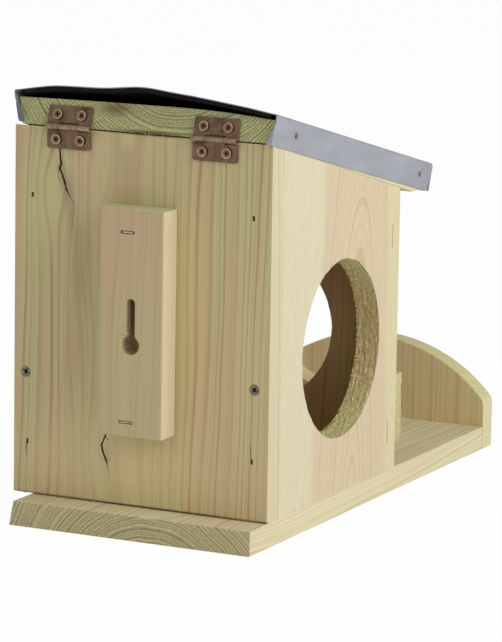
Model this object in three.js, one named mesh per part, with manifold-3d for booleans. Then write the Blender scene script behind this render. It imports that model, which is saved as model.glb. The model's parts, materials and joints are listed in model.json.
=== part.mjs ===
// Squirrel feeder box: a softwood box with a hinged sloping lid, a round way in at each side,
// a round feeding hole in front, and a platform that ends in an arched board.
// Lengths are in millimetres. +Z is up, +Y points from the box to the platform, +X to the right.
// The origin is on the ground, in the middle of the whole feeder.

import * as THREE from 'three';
import { mergeVertices } from 'three/addons/utils/BufferGeometryUtils.js';
import Module from 'manifold-3d';

const wasm = await Module();
wasm.setup();

// Box
const boxWidth = 180;
const boxDepth = 190;
const wallThickness = 16;
const wallRearHeight = 236.2;
const roofPitch = THREE.MathUtils.degToRad(14.9);
const sideHoleRadius = 57.5;
const sideHoleSetback = 104;
const sideHoleHeight = 93.5;
const frontHoleRadius = 50;
const frontHoleHeight = 91;

// Base and platform
const baseThickness = 16;
const baseRearLedge = 23;
const baseLeftSetback = 10;
const baseLeftLean = 3;
const platformLength = 149;
const endBoardThickness = 16;
const endBoardHeight = 72.5;
const endBoardArchRadius = 113;
const endBoardCornerRadius = 8;
const jarRestThickness = 19.5;
const jarRestHeight = 46.5;
const jarRestWidth = 104;
const jarRestSetback = 63.5;
const scoopRadius = 37;
const scoopDepth = 10.5;

// Lid
const roofSeatGap = 0.35;
const backWallDrop = 0.6;
const roofBoardThickness = 16;
const roofCrownRise = 1.7;
const roofLeftRise = 0.8;
const roofRightDrop = 1.5;
const roofFrontOverhang = 40;
const roofLeftLean = 5;
const roofChamferLength = 21;
const roofChamferHeight = 4.5;
const sheetThickness = 0.6;
const sheetGap = 0.4;
const sheetBendRadius = 1.2;
const sheetRearLap = 3;
const sheetTabWidth = 4.5;
const ridgeShare = 0.49;
const underlayThickness = 2;
// heights of the sheet above the board's top, and of its hems above the board's underside
const sheetRise = {
  ridge: { rear: 12.1, front: 8.3 },
  right: { rear: 1.9, front: 6.3 },
  left: { rear: 4.5, front: 5.4 },
};
const sheetHem = {
  right: { rear: -1.5, front: 3.6 },
  left: { rear: 0.9, front: 3.2 },
};
// rise from each eave to the ridge: share of the way across, share of the rise
const leftCrownShares = [[0.04, 0.1], [0.34, 0.59], [0.67, 0.69]];
const rightCrownShares = [[0.05, 0.05], [0.22, 0.27], [0.41, 0.48], [0.59, 0.67], [0.77, 0.82]];

// the roof board's top swells from each edge to its crown: share of the half width, share of the rise
const roofCrownAtShare = 0.3;
const roofSwellShares = [[0.25, 0.44], [0.5, 0.75], [0.75, 0.94]];

// Hanging batten and its keyhole, which opens to a wider undercut behind its face
const battenWidth = 45;
const battenThickness = 18;
const battenLength = 143;
const battenRise = 48.5;
const battenOffset = 3;
const keyholeEntryRadius = 6.1;
const keyholeSlotWidth = 6;
const keyholeFaceDepth = 6;
const keyholeDepth = 12;
const keyholeEntryHeight = 58.1;
const keyholeTravel = 26.2;
const keyholeOffset = -0.1;

// Hinges
const hingeWidth = 31;
const hingeInset = 39;
const hingeLeafReach = 13.8;
const hingeLeafThickness = 1;
const hingeCornerClip = 1.2;
const hingeBarrelRadius = 1.8;
const hingeMiddleKnuckle = 13;
const hingePinRadius = 0.95;
const hingePinEnd = 0.4;
const hingePinRise = 0.3;
const hingePlay = 0.08;
const knuckleGap = 0.3;
const hingeSlotGap = 1;
const hingeScrewSpread = 16.9;
const hingeScrewReach = 7.9;

// Fasteners
const hingeScrew = { headRadius: 3.3, headEdge: 0.4, headHeight: 1.1, shankRadius: 1.4, length: 14, tip: 3 };
const timberScrew = { headRadius: 3.35, headDepth: 2.6, shankRadius: 1.75, length: 40, tip: 5 };
const brad = { headLength: 2.6, wire: 1.1, headDepth: 0.8, shank: 1.4, length: 35 };
const boardNail = { headRadius: 2.5, headDepth: 1, shankRadius: 1.1, length: 40, tip: 3 };
const sheetNail = { headRadius: 2, headEdge: 0.4, headHeight: 0.8, shankRadius: 0.8, length: 20, tip: 2 };
const battenStaple = { crown: 8.8, wire: 1.1, leg: 26 };
const sideStaple = { crown: 14.2, wire: 1.1, leg: 26 };
const recessWidth = 0.9;
const recessDepth = 0.8;
const recessSpan = 3.6;
const headCrownShare = 0.55;
const fitGap = 0.3;
const overrun = 2;

// Places of fasteners: side is -1 for left and 1 for right, and shares run from the outside of the
// box across a wall's thickness, up the rear wall's height or along the roof board
const backScrewShares = [
  { side: -1, across: 0.54, up: 0.333 },
  { side: 1, across: 0.64, up: 0.353 },
];
const bradShares = [
  { side: -1, across: 0.8, up: 0.813 },
  { side: 1, across: 0.78, up: 0.803 },
  { side: -1, across: 0.625, up: 0.144 },
  { side: 1, across: 0.7, up: 0.161 },
];
const sideStapleShares = [
  { across: 0.69, up: 0.659 },
  { across: 0.77, up: 0.111 },
];
const baseScrewAcrossShare = 0.44;
const baseScrewAlongShares = [0.3, 0.75];
const jarRestScrewShare = 0.33;
const endNailAcrossShares = [-0.38, 0, 0.38];
const sheetNailShares = [
  { along: 0.115, up: 0.57 },
  { along: 0.932, up: 0.78 },
];
const battenStapleTopInset = 14.5;
const battenStapleBottomInset = 9.2;
const battenStapleOffset = -2.9;

// Facets
const holeSides = 56;
const rodSides = 20;
const fastenerSides = 12;
const archSteps = 24;
const scoopSteps = 14;
const cornerSteps = 5;
const bendSteps = 3;
const sheetStations = 5;

// Colours
const pine = 0xcfc39a;
const paleEdge = 0xd8cfa4;
const shadedPine = 0x9b8a62;
const zinc = 0xa9aaaf;
const felt = 0x14120e;
const copperedSteel = 0x8a6450;
const paleCopper = 0xa88a72;
const copper = 0xa06a4c;
const darkSteel = 0x57524c;
const brightSteel = 0xb4b0a8;

// Levels and edges worked out from the sizes
const baseLength = baseRearLedge + boxDepth + platformLength;
const baseWidth = boxWidth - baseLeftSetback;
const rearEnd = -(baseLength + endBoardThickness) / 2;
const boxRear = rearEnd + baseRearLedge;
const boxFront = boxRear + boxDepth;
const baseFront = rearEnd + baseLength;
const boxSide = boxWidth / 2;
const baseLeft = boxSide - baseWidth;
const baseMiddle = boxSide - baseWidth / 2;
const wallFall = Math.tan(roofPitch);
const pinSetback = hingeBarrelRadius + fitGap;
const hingeX = boxSide - hingeInset;

// The lid's own axes start at the hinge pins: Y runs down the slope, Z squarely out of it
const lidBottom = roofSeatGap + pinSetback * Math.sin(roofPitch) - hingePinRise * Math.cos(roofPitch);
const lidTop = lidBottom + roofBoardThickness;
const lidRear = pinSetback;
const lidLength = boxDepth / Math.cos(roofPitch) + roofFrontOverhang;
const lidFront = lidRear + lidLength;
const sheetSide = boxSide + sheetGap + sheetThickness;
const sheetRear = lidRear - sheetRearLap;
const sheetFront = lidFront + sheetGap + sheetThickness;
const ridgeX = sheetSide * (2 * ridgeShare - 1);

const right = new THREE.Vector3(1, 0, 0);
const left = new THREE.Vector3(-1, 0, 0);
const front = new THREE.Vector3(0, 1, 0);
const rear = new THREE.Vector3(0, -1, 0);
const up = new THREE.Vector3(0, 0, 1);
const down = new THREE.Vector3(0, 0, -1);

// Solids

function solidOf(geometry) {
  const bare = geometry.clone();
  bare.deleteAttribute('normal');
  bare.deleteAttribute('uv');
  const merged = mergeVertices(bare);
  const index = merged.index.array;
  const corners = [];
  for (let i = 0; i < index.length; i += 3) {
    const [a, b, c] = [index[i], index[i + 1], index[i + 2]];
    if (a !== b && b !== c && c !== a) corners.push(a, b, c);
  }
  const vertProperties = new Float32Array(merged.attributes.position.array);
  return new wasm.Manifold(new wasm.Mesh({ numProp: 3, vertProperties, triVerts: new Uint32Array(corners) }));
}

function geometryOf(solid) {
  const mesh = solid.getMesh();
  const geometry = new THREE.BufferGeometry();
  geometry.setAttribute('position', new THREE.BufferAttribute(new Float32Array(mesh.vertProperties), 3));
  geometry.setIndex(new THREE.BufferAttribute(new Uint32Array(mesh.triVerts), 1));
  const faceted = geometry.toNonIndexed();
  faceted.computeVertexNormals();
  return faceted;
}

function joined(geometries) {
  return geometryOf(geometries.map(solidOf).reduce((sum, next) => sum.add(next)));
}

function cut(geometry, cutters) {
  return geometryOf(cutters.map(solidOf).reduce((rest, cutter) => rest.subtract(cutter), solidOf(geometry)));
}

// Outlines

function arc(centreX, centreY, radius, from, to, steps) {
  return Array.from({ length: steps + 1 }, (_, i) => {
    const angle = from + ((to - from) * i) / steps;
    return [centreX + radius * Math.cos(angle), centreY + radius * Math.sin(angle)];
  });
}

function shapeOf(points) {
  return new THREE.Shape(points.map(([x, y]) => new THREE.Vector2(x, y)));
}

function slot(halfWidth, travel) {
  return [
    ...arc(0, travel, halfWidth, 0, Math.PI, rodSides / 2),
    ...arc(0, 0, halfWidth, Math.PI, 2 * Math.PI, rodSides / 2),
  ];
}

// Prisms: an outline of Y and Z pushed along X, or one of X and Z pushed along Y

function extruded(points, depth) {
  return new THREE.ExtrudeGeometry(shapeOf(points), { depth, bevelEnabled: false });
}

function prismX(points, from, to) {
  return extruded(points, to - from)
    .applyMatrix4(new THREE.Matrix4().makeBasis(front, up, right))
    .translate(from, 0, 0);
}

function prismY(points, from, to) {
  return extruded(points, to - from)
    .applyMatrix4(new THREE.Matrix4().makeBasis(right, up, rear))
    .translate(0, to, 0);
}

function block(min, max) {
  const size = new THREE.Vector3().subVectors(max, min);
  const middle = new THREE.Vector3().addVectors(max, min).multiplyScalar(0.5);
  return new THREE.BoxGeometry(size.x, size.y, size.z).translate(middle.x, middle.y, middle.z);
}

// Fasteners stand in a hole on the Z axis with the surface at zero and the head at the top

function turned(profile) {
  const points = profile.map(([radius, height]) => new THREE.Vector2(radius, height));
  return new THREE.LatheGeometry(points, fastenerSides).rotateX(Math.PI / 2);
}

function shankPoints(size, grow) {
  return [
    [0, -size.length - grow],
    [size.shankRadius + grow, size.tip - size.length - grow],
  ];
}

function sunkFastener(size, grow = 0, top = 0) {
  return turned([
    ...shankPoints(size, grow),
    [size.shankRadius + grow, -size.headDepth - fitGap],
    [size.headRadius + grow, -fitGap],
    ...(top > 0 ? [[size.headRadius + grow, top], [0, top]] : [[0, -fitGap]]),
  ]);
}

function proudFastener(size) {
  return turned([
    ...shankPoints(size, 0),
    [size.shankRadius, 0],
    [size.headRadius, 0],
    [size.headRadius, size.headEdge],
    [size.headRadius * headCrownShare, size.headHeight],
    [0, size.headHeight],
  ]).translate(0, 0, fitGap);
}

function shankHole(size) {
  return turned([...shankPoints(size, fitGap), [size.shankRadius + fitGap, overrun], [0, overrun]]);
}

function withRecess(geometry, top) {
  const arms = [0, 1].map((turn) =>
    new THREE.BoxGeometry(recessSpan, recessWidth, 2 * recessDepth).rotateZ((turn * Math.PI) / 2),
  );
  return cut(geometry, [joined(arms).translate(0, 0, top)]);
}

function stapleOutline({ crown, wire, leg }, grow, top) {
  const outer = crown / 2 + grow;
  const inner = crown / 2 - wire - grow;
  return [
    [-outer, -leg - grow],
    [-inner, -leg - grow],
    [-inner, -wire - grow],
    [inner, -wire - grow],
    [inner, -leg - grow],
    [outer, -leg - grow],
    [outer, top],
    [-outer, top],
  ];
}

function staple(size, grow = 0, top = 0) {
  const half = size.wire / 2 + grow;
  return prismY(stapleOutline(size, grow, top), -half, half);
}

// A brad from a nail gun: a flat wire with a small T-shaped head, seen end on as a short upright line
function bradShape(grow = 0, top = 0) {
  const wide = brad.headLength / 2 + grow;
  const narrow = brad.shank / 2 + grow;
  const outline = [
    [-narrow, -brad.length - grow],
    [narrow, -brad.length - grow],
    [narrow, -brad.headDepth - fitGap - grow],
    [wide, -brad.headDepth - fitGap - grow],
    [wide, top],
    [-wide, top],
    [-wide, -brad.headDepth - fitGap - grow],
    [-narrow, -brad.headDepth - fitGap - grow],
  ];
  return prismY(outline, -brad.wire / 2 - grow, brad.wire / 2 + grow);
}

const hingeScrewShape = () =>
  withRecess(proudFastener(hingeScrew), hingeScrew.headHeight + fitGap);
const timberScrewShape = () => withRecess(sunkFastener(timberScrew), -fitGap);

// A place is a point on a surface, the way out of it and a direction along it
function place(x, y, z, out, along) {
  return new THREE.Matrix4()
    .makeBasis(along, new THREE.Vector3().crossVectors(out, along), out)
    .setPosition(x, y, z);
}

function placed(shape, places) {
  return places.map((matrix) => shape.clone().applyMatrix4(matrix));
}

function wallTop(y) {
  return baseThickness + wallRearHeight - (y - boxRear) * wallFall;
}

// A point a share of the way across a side wall, from the outside of the box
function acrossWall({ side, across }) {
  return side * (boxSide - across * wallThickness);
}

function heightOnWall(share) {
  return baseThickness + share * wallRearHeight;
}

const backScrewPlaces = backScrewShares.map((at) =>
  place(acrossWall(at), boxRear, heightOnWall(at.up), rear, right),
);
const bradPlaces = bradShares.map((at) => place(acrossWall(at), boxRear, heightOnWall(at.up), rear, up));

function sideStaplePlaces(side, out) {
  return sideStapleShares.map((at) =>
    place(side * boxSide, boxFront - at.across * wallThickness, heightOnWall(at.up), out, up),
  );
}

const leftStaplePlaces = sideStaplePlaces(-1, left);
const rightStaplePlaces = sideStaplePlaces(1, right);

const battenBottom = baseThickness + battenRise;
const battenStaplePlaces = [battenStapleBottomInset, battenLength - battenStapleTopInset].map((height) =>
  place(battenOffset + battenStapleOffset, boxRear - battenThickness, battenBottom + height, rear, right),
);

const baseScrewPlaces = [
  ...[-1, 1].flatMap((side) =>
    [boxRear + wallThickness / 2, boxFront - wallThickness / 2].map((y) =>
      place(side * baseScrewAcrossShare * boxSide, y, 0, down, right),
    ),
  ),
  ...baseScrewAlongShares.map((share) =>
    place(boxSide - wallThickness / 2, boxRear + share * boxDepth, 0, down, right),
  ),
];

const jarRestRear = boxFront + jarRestSetback;
const jarRestScrewPlaces = [-1, 1].map((side) =>
  place(baseMiddle + side * jarRestScrewShare * jarRestWidth, jarRestRear + jarRestThickness / 2, 0, down, right),
);

const endNailPlaces = endNailAcrossShares.map((share) =>
  place(baseMiddle + share * baseWidth, baseFront + endBoardThickness, baseThickness / 2, front, right),
);

const pinHeight = baseThickness + wallRearHeight + hingePinRise;
const hingeScrewSides = [-hingeScrewSpread / 2, hingeScrewSpread / 2];

// both screws of a leaf, in the hinge's own axes with the leaf pointing up
const leafScrewPlaces = hingeScrewSides.map((x) =>
  place(x, hingeBarrelRadius - hingeLeafThickness, hingeScrewReach, rear, right),
);
const leafScrewHolePlaces = hingeScrewSides.map((x) => place(x, hingeBarrelRadius, hingeScrewReach, rear, right));

// from a hinge's own axes to the box for the wall leaf, or to the lid for the roof leaf
function wallLeafFrame(x) {
  return new THREE.Matrix4().makeRotationY(Math.PI).setPosition(x, boxRear - pinSetback, pinHeight);
}

function roofLeafFrame(x) {
  return new THREE.Matrix4().makeTranslation(x, 0, 0);
}

function allLeafHoles(leafFrame) {
  return [-hingeX, hingeX].flatMap((x) =>
    placed(shankHole(hingeScrew), leafScrewHolePlaces).map((hole) => hole.applyMatrix4(leafFrame(x))),
  );
}

// The sheet's surface: t runs from 0 at the rear to 1 at the front, inset goes in from its outside

function between(pair, t) {
  return pair.rear + (pair.front - pair.rear) * t;
}

function crownPoints(t, inset) {
  const ridge = between(sheetRise.ridge, t);
  const point = (side, eave) => ([across, rise]) => {
    const x = side * sheetSide + (ridgeX - side * sheetSide) * across;
    return [x, lidTop + eave + (ridge - eave) * rise - inset];
  };
  return [
    ...rightCrownShares.map(point(1, between(sheetRise.right, t))),
    [ridgeX, lidTop + ridge - inset],
    ...leftCrownShares.map(point(-1, between(sheetRise.left, t))).reverse(),
  ];
}

// The roof board's top, from its right edge to its left
function boardTopPoints() {
  const crownX = roofCrownAtShare * boxSide;
  const swell = (edgeX, edgeRise) => ([across, rise]) => [
    edgeX + (crownX - edgeX) * across,
    lidTop + edgeRise + (roofCrownRise - edgeRise) * rise,
  ];
  return [
    [boxSide, lidTop - roofRightDrop],
    ...roofSwellShares.map(swell(boxSide, -roofRightDrop)),
    [crownX, lidTop + roofCrownRise],
    ...roofSwellShares.map(swell(-boxSide, roofLeftRise)).reverse(),
    [-boxSide, lidTop + roofLeftRise],
  ];
}

function boardTopAt(x) {
  const points = boardTopPoints();
  const next = Math.max(1, points.findIndex(([pointX]) => pointX <= x));
  const [[x0, z0], [x1, z1]] = [points[next - 1], points[next]];
  return z0 + ((z1 - z0) * (x - x0)) / (x1 - x0);
}

function leftLeanAt(z) {
  return (roofLeftLean * (lidTop - z)) / roofBoardThickness;
}

function sheetProfile(t, inset) {
  const bendX = sheetSide - sheetBendRadius;
  const bendZ = (side) => lidTop + between(sheetRise[side], t) - sheetBendRadius;
  const radius = sheetBendRadius - inset;
  const rightHem = lidBottom + between(sheetHem.right, t);
  const leftHem = lidBottom + between(sheetHem.left, t);
  return [
    [sheetSide - inset, rightHem],
    ...arc(bendX, bendZ('right'), radius, 0, Math.PI / 2, bendSteps),
    ...crownPoints(t, inset),
    ...arc(leftLeanAt(bendZ('left')) - bendX, bendZ('left'), radius, Math.PI / 2, Math.PI, bendSteps),
    [inset - sheetSide + leftLeanAt(leftHem), leftHem],
  ];
}

// A skin between an outer and an inner profile, both from right to left, at stations along Y
function skin(outerAt, innerAt, from, to) {
  const positions = [];
  const index = [];
  const count = outerAt(0).length;
  const ring = 2 * count;
  const last = sheetStations - 1;
  for (let station = 0; station <= last; station += 1) {
    const t = station / last;
    const y = from + (to - from) * t;
    [...outerAt(t), ...innerAt(t).reverse()].forEach(([x, z]) => positions.push(x, y, z));
  }
  for (let station = 0; station < last; station += 1) {
    for (let i = 0; i < ring; i += 1) {
      const a = station * ring + i;
      const b = station * ring + ((i + 1) % ring);
      index.push(a, a + ring, b, a + ring, b + ring, b);
    }
  }
  for (let i = 0; i < count - 1; i += 1) {
    const [a, b, c, d] = [i, i + 1, ring - 2 - i, ring - 1 - i];
    const end = last * ring;
    index.push(a, b, c, a, c, d);
    index.push(end + a, end + c, end + b, end + a, end + d, end + c);
  }
  const geometry = new THREE.BufferGeometry();
  geometry.setAttribute('position', new THREE.Float32BufferAttribute(positions, 3));
  geometry.setIndex(index);
  return geometryOf(solidOf(geometry));
}

// Sheet nails stand squarely on the sheet's side flanges
function sheetNailPlaces(side, depth) {
  const lean = side < 0 ? Math.atan2(roofLeftLean, roofBoardThickness) : 0;
  const out = new THREE.Vector3(side * Math.cos(lean), 0, -Math.sin(lean));
  return sheetNailShares.map((at) => {
    const z = lidBottom + at.up * roofBoardThickness;
    const x = side * (sheetSide - depth) + (side < 0 ? leftLeanAt(z) : 0);
    return place(x, lidRear + at.along * lidLength, z, out, front);
  });
}

// Pieces of the box

function baseBoard() {
  const outline = [
    [baseLeft, 0],
    [boxSide, 0],
    [boxSide, baseThickness],
    [baseLeft + baseLeftLean, baseThickness],
  ];
  const board = prismY(outline, rearEnd, baseFront);
  return cut(board, [
    ...placed(sunkFastener(timberScrew, fitGap, overrun), [...baseScrewPlaces, ...jarRestScrewPlaces]),
    ...placed(sunkFastener(boardNail, fitGap, overrun), endNailPlaces),
  ]);
}

function wallOutline(from, to, drop = 0) {
  return [
    [from, baseThickness],
    [to, baseThickness],
    [to, wallTop(to) - drop],
    [from, wallTop(from) - drop],
  ];
}

function backWall() {
  const wall = prismX(wallOutline(boxRear, boxRear + wallThickness, backWallDrop), -boxSide, boxSide);
  return cut(wall, [
    ...placed(sunkFastener(timberScrew, fitGap, overrun), [...backScrewPlaces, ...baseScrewPlaces]),
    ...placed(bradShape(fitGap, overrun), bradPlaces),
    ...placed(staple(battenStaple, fitGap, overrun), battenStaplePlaces),
    ...allLeafHoles(wallLeafFrame),
  ]);
}

function sideWall(inner, outer, staplePlaces) {
  const wall = prismX(wallOutline(boxRear + wallThickness, boxFront), inner, outer);
  const hole = new THREE.CylinderGeometry(sideHoleRadius, sideHoleRadius, wallThickness + overrun, holeSides)
    .rotateZ(Math.PI / 2)
    .translate((inner + outer) / 2, boxRear + sideHoleSetback, baseThickness + sideHoleHeight);
  return cut(wall, [
    hole,
    ...placed(sunkFastener(timberScrew, fitGap, overrun), [...backScrewPlaces, ...baseScrewPlaces]),
    ...placed(bradShape(fitGap, overrun), bradPlaces),
    ...placed(staple(sideStaple, fitGap, overrun), staplePlaces),
  ]);
}

function frontWall() {
  const side = boxSide - wallThickness;
  const wall = prismX(wallOutline(boxFront - wallThickness, boxFront), -side, side);
  const hole = new THREE.CylinderGeometry(frontHoleRadius, frontHoleRadius, wallThickness + overrun, holeSides)
    .translate(0, boxFront - wallThickness / 2, baseThickness + frontHoleHeight);
  return cut(wall, [
    hole,
    ...placed(sunkFastener(timberScrew, fitGap, overrun), baseScrewPlaces),
    ...placed(staple(sideStaple, fitGap, overrun), [...leftStaplePlaces, ...rightStaplePlaces]),
  ]);
}

// The arch is one arc between two rounded corners on straight sides
function endBoard() {
  const half = baseWidth / 2;
  const archCentre = endBoardHeight - endBoardArchRadius;
  const cornerX = half - endBoardCornerRadius;
  const cornerZ = archCentre + Math.sqrt((endBoardArchRadius - endBoardCornerRadius) ** 2 - cornerX ** 2);
  const cornerAngle = Math.atan2(cornerZ - archCentre, cornerX);
  const outline = [
    [-half, 0],
    [half, 0],
    ...arc(cornerX, cornerZ, endBoardCornerRadius, 0, cornerAngle, cornerSteps),
    ...arc(0, archCentre, endBoardArchRadius, cornerAngle, Math.PI - cornerAngle, archSteps).slice(1, -1),
    ...arc(-cornerX, cornerZ, endBoardCornerRadius, Math.PI - cornerAngle, Math.PI, cornerSteps),
  ];
  const board = prismY(outline, baseFront, baseFront + endBoardThickness).translate(baseMiddle, 0, 0);
  return cut(board, placed(sunkFastener(boardNail, fitGap, overrun), endNailPlaces));
}

// A low block whose top edge is scooped to a neck's round
function jarRest() {
  const half = jarRestWidth / 2;
  const top = baseThickness + jarRestHeight;
  const scoopCentre = top - scoopDepth + scoopRadius;
  const reach = Math.asin((scoopRadius - scoopDepth) / scoopRadius);
  const outline = [
    [-half, baseThickness],
    [half, baseThickness],
    [half, top],
    ...arc(0, scoopCentre, scoopRadius, -reach, reach - Math.PI, scoopSteps),
    [-half, top],
  ];
  const rest = prismY(outline, jarRestRear, jarRestRear + jarRestThickness).translate(baseMiddle, 0, 0);
  return cut(rest, placed(sunkFastener(timberScrew, fitGap, overrun), jarRestScrewPlaces));
}

function hangingBatten() {
  const face = boxRear - battenThickness;
  const half = battenWidth / 2;
  const batten = block(
    new THREE.Vector3(battenOffset - half, face, battenBottom),
    new THREE.Vector3(battenOffset + half, boxRear, battenBottom + battenLength),
  );
  const atEntry = (geometry) =>
    geometry.translate(battenOffset + keyholeOffset, face, battenBottom + keyholeEntryHeight);
  return cut(batten, [
    atEntry(prismY(slot(keyholeEntryRadius, 0), -overrun, keyholeDepth)),
    atEntry(prismY(slot(keyholeSlotWidth / 2, keyholeTravel), -overrun, keyholeDepth)),
    atEntry(prismY(slot(keyholeEntryRadius, keyholeTravel), keyholeFaceDepth, keyholeDepth)),
    ...placed(staple(battenStaple, fitGap, overrun), battenStaplePlaces),
  ]);
}

// Pieces of the lid

function roofBoard() {
  const outline = [
    [roofLeftLean - boxSide, lidBottom],
    [boxSide, lidBottom],
    ...boardTopPoints(),
  ];
  const chamfer = [
    [lidFront - roofChamferLength, lidBottom],
    [lidFront - roofChamferLength, lidBottom - overrun],
    [lidFront + overrun, lidBottom - overrun],
    [lidFront + overrun, lidBottom + roofChamferHeight],
    [lidFront, lidBottom + roofChamferHeight],
  ];
  return cut(prismY(outline, lidRear, lidFront), [
    prismX(chamfer, -sheetSide, sheetSide),
    ...allLeafHoles(roofLeafFrame),
    ...placed(shankHole(sheetNail), [...sheetNailPlaces(-1, 0), ...sheetNailPlaces(1, 0)]),
  ]);
}

// The sheet's crown, two side flanges, front flange and two small tabs turned in at the rear corners
function roofSheet() {
  const cover = skin((t) => sheetProfile(t, 0), (t) => sheetProfile(t, sheetThickness), sheetRear, sheetFront);
  const frontFlange = prismY(sheetProfile(1, sheetThickness / 2), sheetFront - sheetThickness, sheetFront);
  const rightHem = lidBottom + sheetHem.right.rear;
  const leftHem = lidBottom + sheetHem.left.rear;
  const edge = sheetSide - sheetThickness / 2;
  const rightTab = [
    [edge, rightHem],
    [edge, lidTop],
    [edge - sheetTabWidth, rightHem],
  ];
  const leftTab = [
    [-edge, lidTop],
    [leftLeanAt(leftHem) - edge, leftHem],
    [leftLeanAt(leftHem) - edge + sheetTabWidth, leftHem],
  ];
  const tabs = [rightTab, leftTab].map((outline) => prismY(outline, sheetRear, sheetRear + sheetThickness));
  return cut(joined([cover, frontFlange, ...tabs]), [
    ...placed(shankHole(sheetNail), [...sheetNailPlaces(-1, 0), ...sheetNailPlaces(1, 0)]),
  ]);
}

// Black felt under the sheet, which it follows down to the board
function roofUnderlay() {
  const topAt = (t) => crownPoints(t, sheetThickness + fitGap);
  const bottomAt = (t) =>
    topAt(t).map(([x, z]) => [x, Math.max(z - underlayThickness, boardTopAt(x) + fitGap)]);
  return skin(topAt, bottomAt, sheetRear + fitGap, lidFront - fitGap);
}

// Hinges, in their own axes: the pin along X, the leaf pointing up, the wood at +Y

function knuckleSpans(isRoofLeaf) {
  const middle = hingeMiddleKnuckle / 2;
  const end = hingeWidth / 2;
  return isRoofLeaf ? [[-end, -middle - knuckleGap], [middle + knuckleGap, end]] : [[-middle, middle]];
}

function rodX(radius, from, to) {
  return new THREE.CylinderGeometry(radius, radius, to - from, rodSides)
    .rotateZ(Math.PI / 2)
    .translate((from + to) / 2, 0, 0);
}

function hingeLeaf(isRoofLeaf) {
  const half = hingeWidth / 2;
  const outer = hingeBarrelRadius - hingeLeafThickness;
  const foot = hingeBarrelRadius + hingeSlotGap;
  const plate = [
    [-half, foot],
    [half, foot],
    [half, hingeLeafReach - hingeCornerClip],
    [half - hingeCornerClip, hingeLeafReach],
    [hingeCornerClip - half, hingeLeafReach],
    [-half, hingeLeafReach - hingeCornerClip],
  ];
  const knuckles = knuckleSpans(isRoofLeaf).flatMap(([from, to]) => [
    rodX(hingeBarrelRadius, from, to),
    block(new THREE.Vector3(from, outer, 0), new THREE.Vector3(to, hingeBarrelRadius, foot + hingeSlotGap)),
  ]);
  const boreRadius = (hingePinRadius + hingePlay) / Math.cos(Math.PI / rodSides);
  return cut(joined([prismY(plate, outer, hingeBarrelRadius), ...knuckles]), [
    rodX(boreRadius, -half - overrun, half + overrun),
    ...placed(shankHole(hingeScrew), leafScrewHolePlaces),
  ]);
}

function hingePin() {
  const reach = hingeWidth / 2 + hingePinEnd;
  return rodX(hingePinRadius, -reach, reach);
}

// Assembly

function piece(name, geometry, color, roughness, metalness) {
  const mesh = new THREE.Mesh(geometry, new THREE.MeshStandardMaterial({ color, roughness, metalness }));
  mesh.name = name;
  return mesh;
}

function wooden(name, geometry, color = pine) {
  return piece(name, geometry, color, 0.75, 0);
}

function steel(name, geometry, color) {
  return piece(name, geometry, color, 0.45, 0.85);
}

// one mesh for each place, numbered from 1
function fasteners(name, shape, places, color) {
  return places.map((matrix, i) => {
    const mesh = steel(`${name}_${i + 1}`, shape, color);
    mesh.applyMatrix4(matrix);
    return mesh;
  });
}

// one leaf and its screws, in a group at the pin's middle
function leafGroup(side, leaf) {
  const group = new THREE.Group();
  group.add(
    steel(`hinge_${side}_${leaf}_leaf`, hingeLeaf(leaf === 'roof'), copperedSteel),
    ...fasteners(`hinge_${side}_${leaf}_screw`, hingeScrewShape(), leafScrewPlaces, paleCopper),
  );
  return group;
}

function boxGroup() {
  const box = new THREE.Group();
  box.add(
    wooden('base_board', baseBoard()),
    wooden('back_wall', backWall()),
    wooden('left_side_wall', sideWall(-boxSide, wallThickness - boxSide, leftStaplePlaces)),
    wooden('right_side_wall', sideWall(boxSide - wallThickness, boxSide, rightStaplePlaces)),
    wooden('front_wall', frontWall()),
    wooden('end_board', endBoard(), shadedPine),
    wooden('jar_rest', jarRest(), paleEdge),
    wooden('hanging_batten', hangingBatten()),
    ...fasteners('back_wall_screw', timberScrewShape(), backScrewPlaces, darkSteel),
    ...fasteners('back_wall_brad', bradShape(0, -fitGap), bradPlaces, darkSteel),
    ...fasteners('batten_staple', staple(battenStaple), battenStaplePlaces, brightSteel),
    ...fasteners('left_side_staple', staple(sideStaple), leftStaplePlaces, brightSteel),
    ...fasteners('right_side_staple', staple(sideStaple), rightStaplePlaces, brightSteel),
    ...fasteners('base_screw', timberScrewShape(), baseScrewPlaces, darkSteel),
    ...fasteners('jar_rest_screw', timberScrewShape(), jarRestScrewPlaces, darkSteel),
    ...fasteners('end_board_nail', sunkFastener(boardNail), endNailPlaces, brightSteel),
  );
  for (const [side, x] of [['left', -hingeX], ['right', hingeX]]) {
    const leaf = leafGroup(side, 'wall');
    leaf.position.set(x, boxRear - pinSetback, pinHeight);
    leaf.rotation.y = Math.PI;
    const pin = steel(`hinge_${side}_pin`, hingePin(), copperedSteel);
    pin.position.set(x, boxRear - pinSetback, pinHeight);
    box.add(leaf, pin);
  }
  return box;
}

// The lid hangs on the hinge pins and lies at the roof's pitch
function lidGroup() {
  const lid = new THREE.Group();
  lid.add(
    wooden('roof_board', roofBoard()),
    piece('roof_underlay', roofUnderlay(), felt, 0.9, 0),
    piece('roof_sheet', roofSheet(), zinc, 0.5, 0.6),
    ...fasteners('sheet_nail_left', proudFastener(sheetNail), sheetNailPlaces(-1, 0), copper),
    ...fasteners('sheet_nail_right', proudFastener(sheetNail), sheetNailPlaces(1, 0), copper),
  );
  for (const [side, x] of [['left', -hingeX], ['right', hingeX]]) {
    const leaf = leafGroup(side, 'roof');
    leaf.position.x = x;
    lid.add(leaf);
  }
  lid.position.set(0, boxRear - pinSetback, pinHeight);
  lid.rotation.x = -roofPitch;
  return lid;
}

const feeder = new THREE.Group();
feeder.name = 'squirrel_feeder_box';
feeder.add(boxGroup(), lidGroup());

export default feeder;
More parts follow.
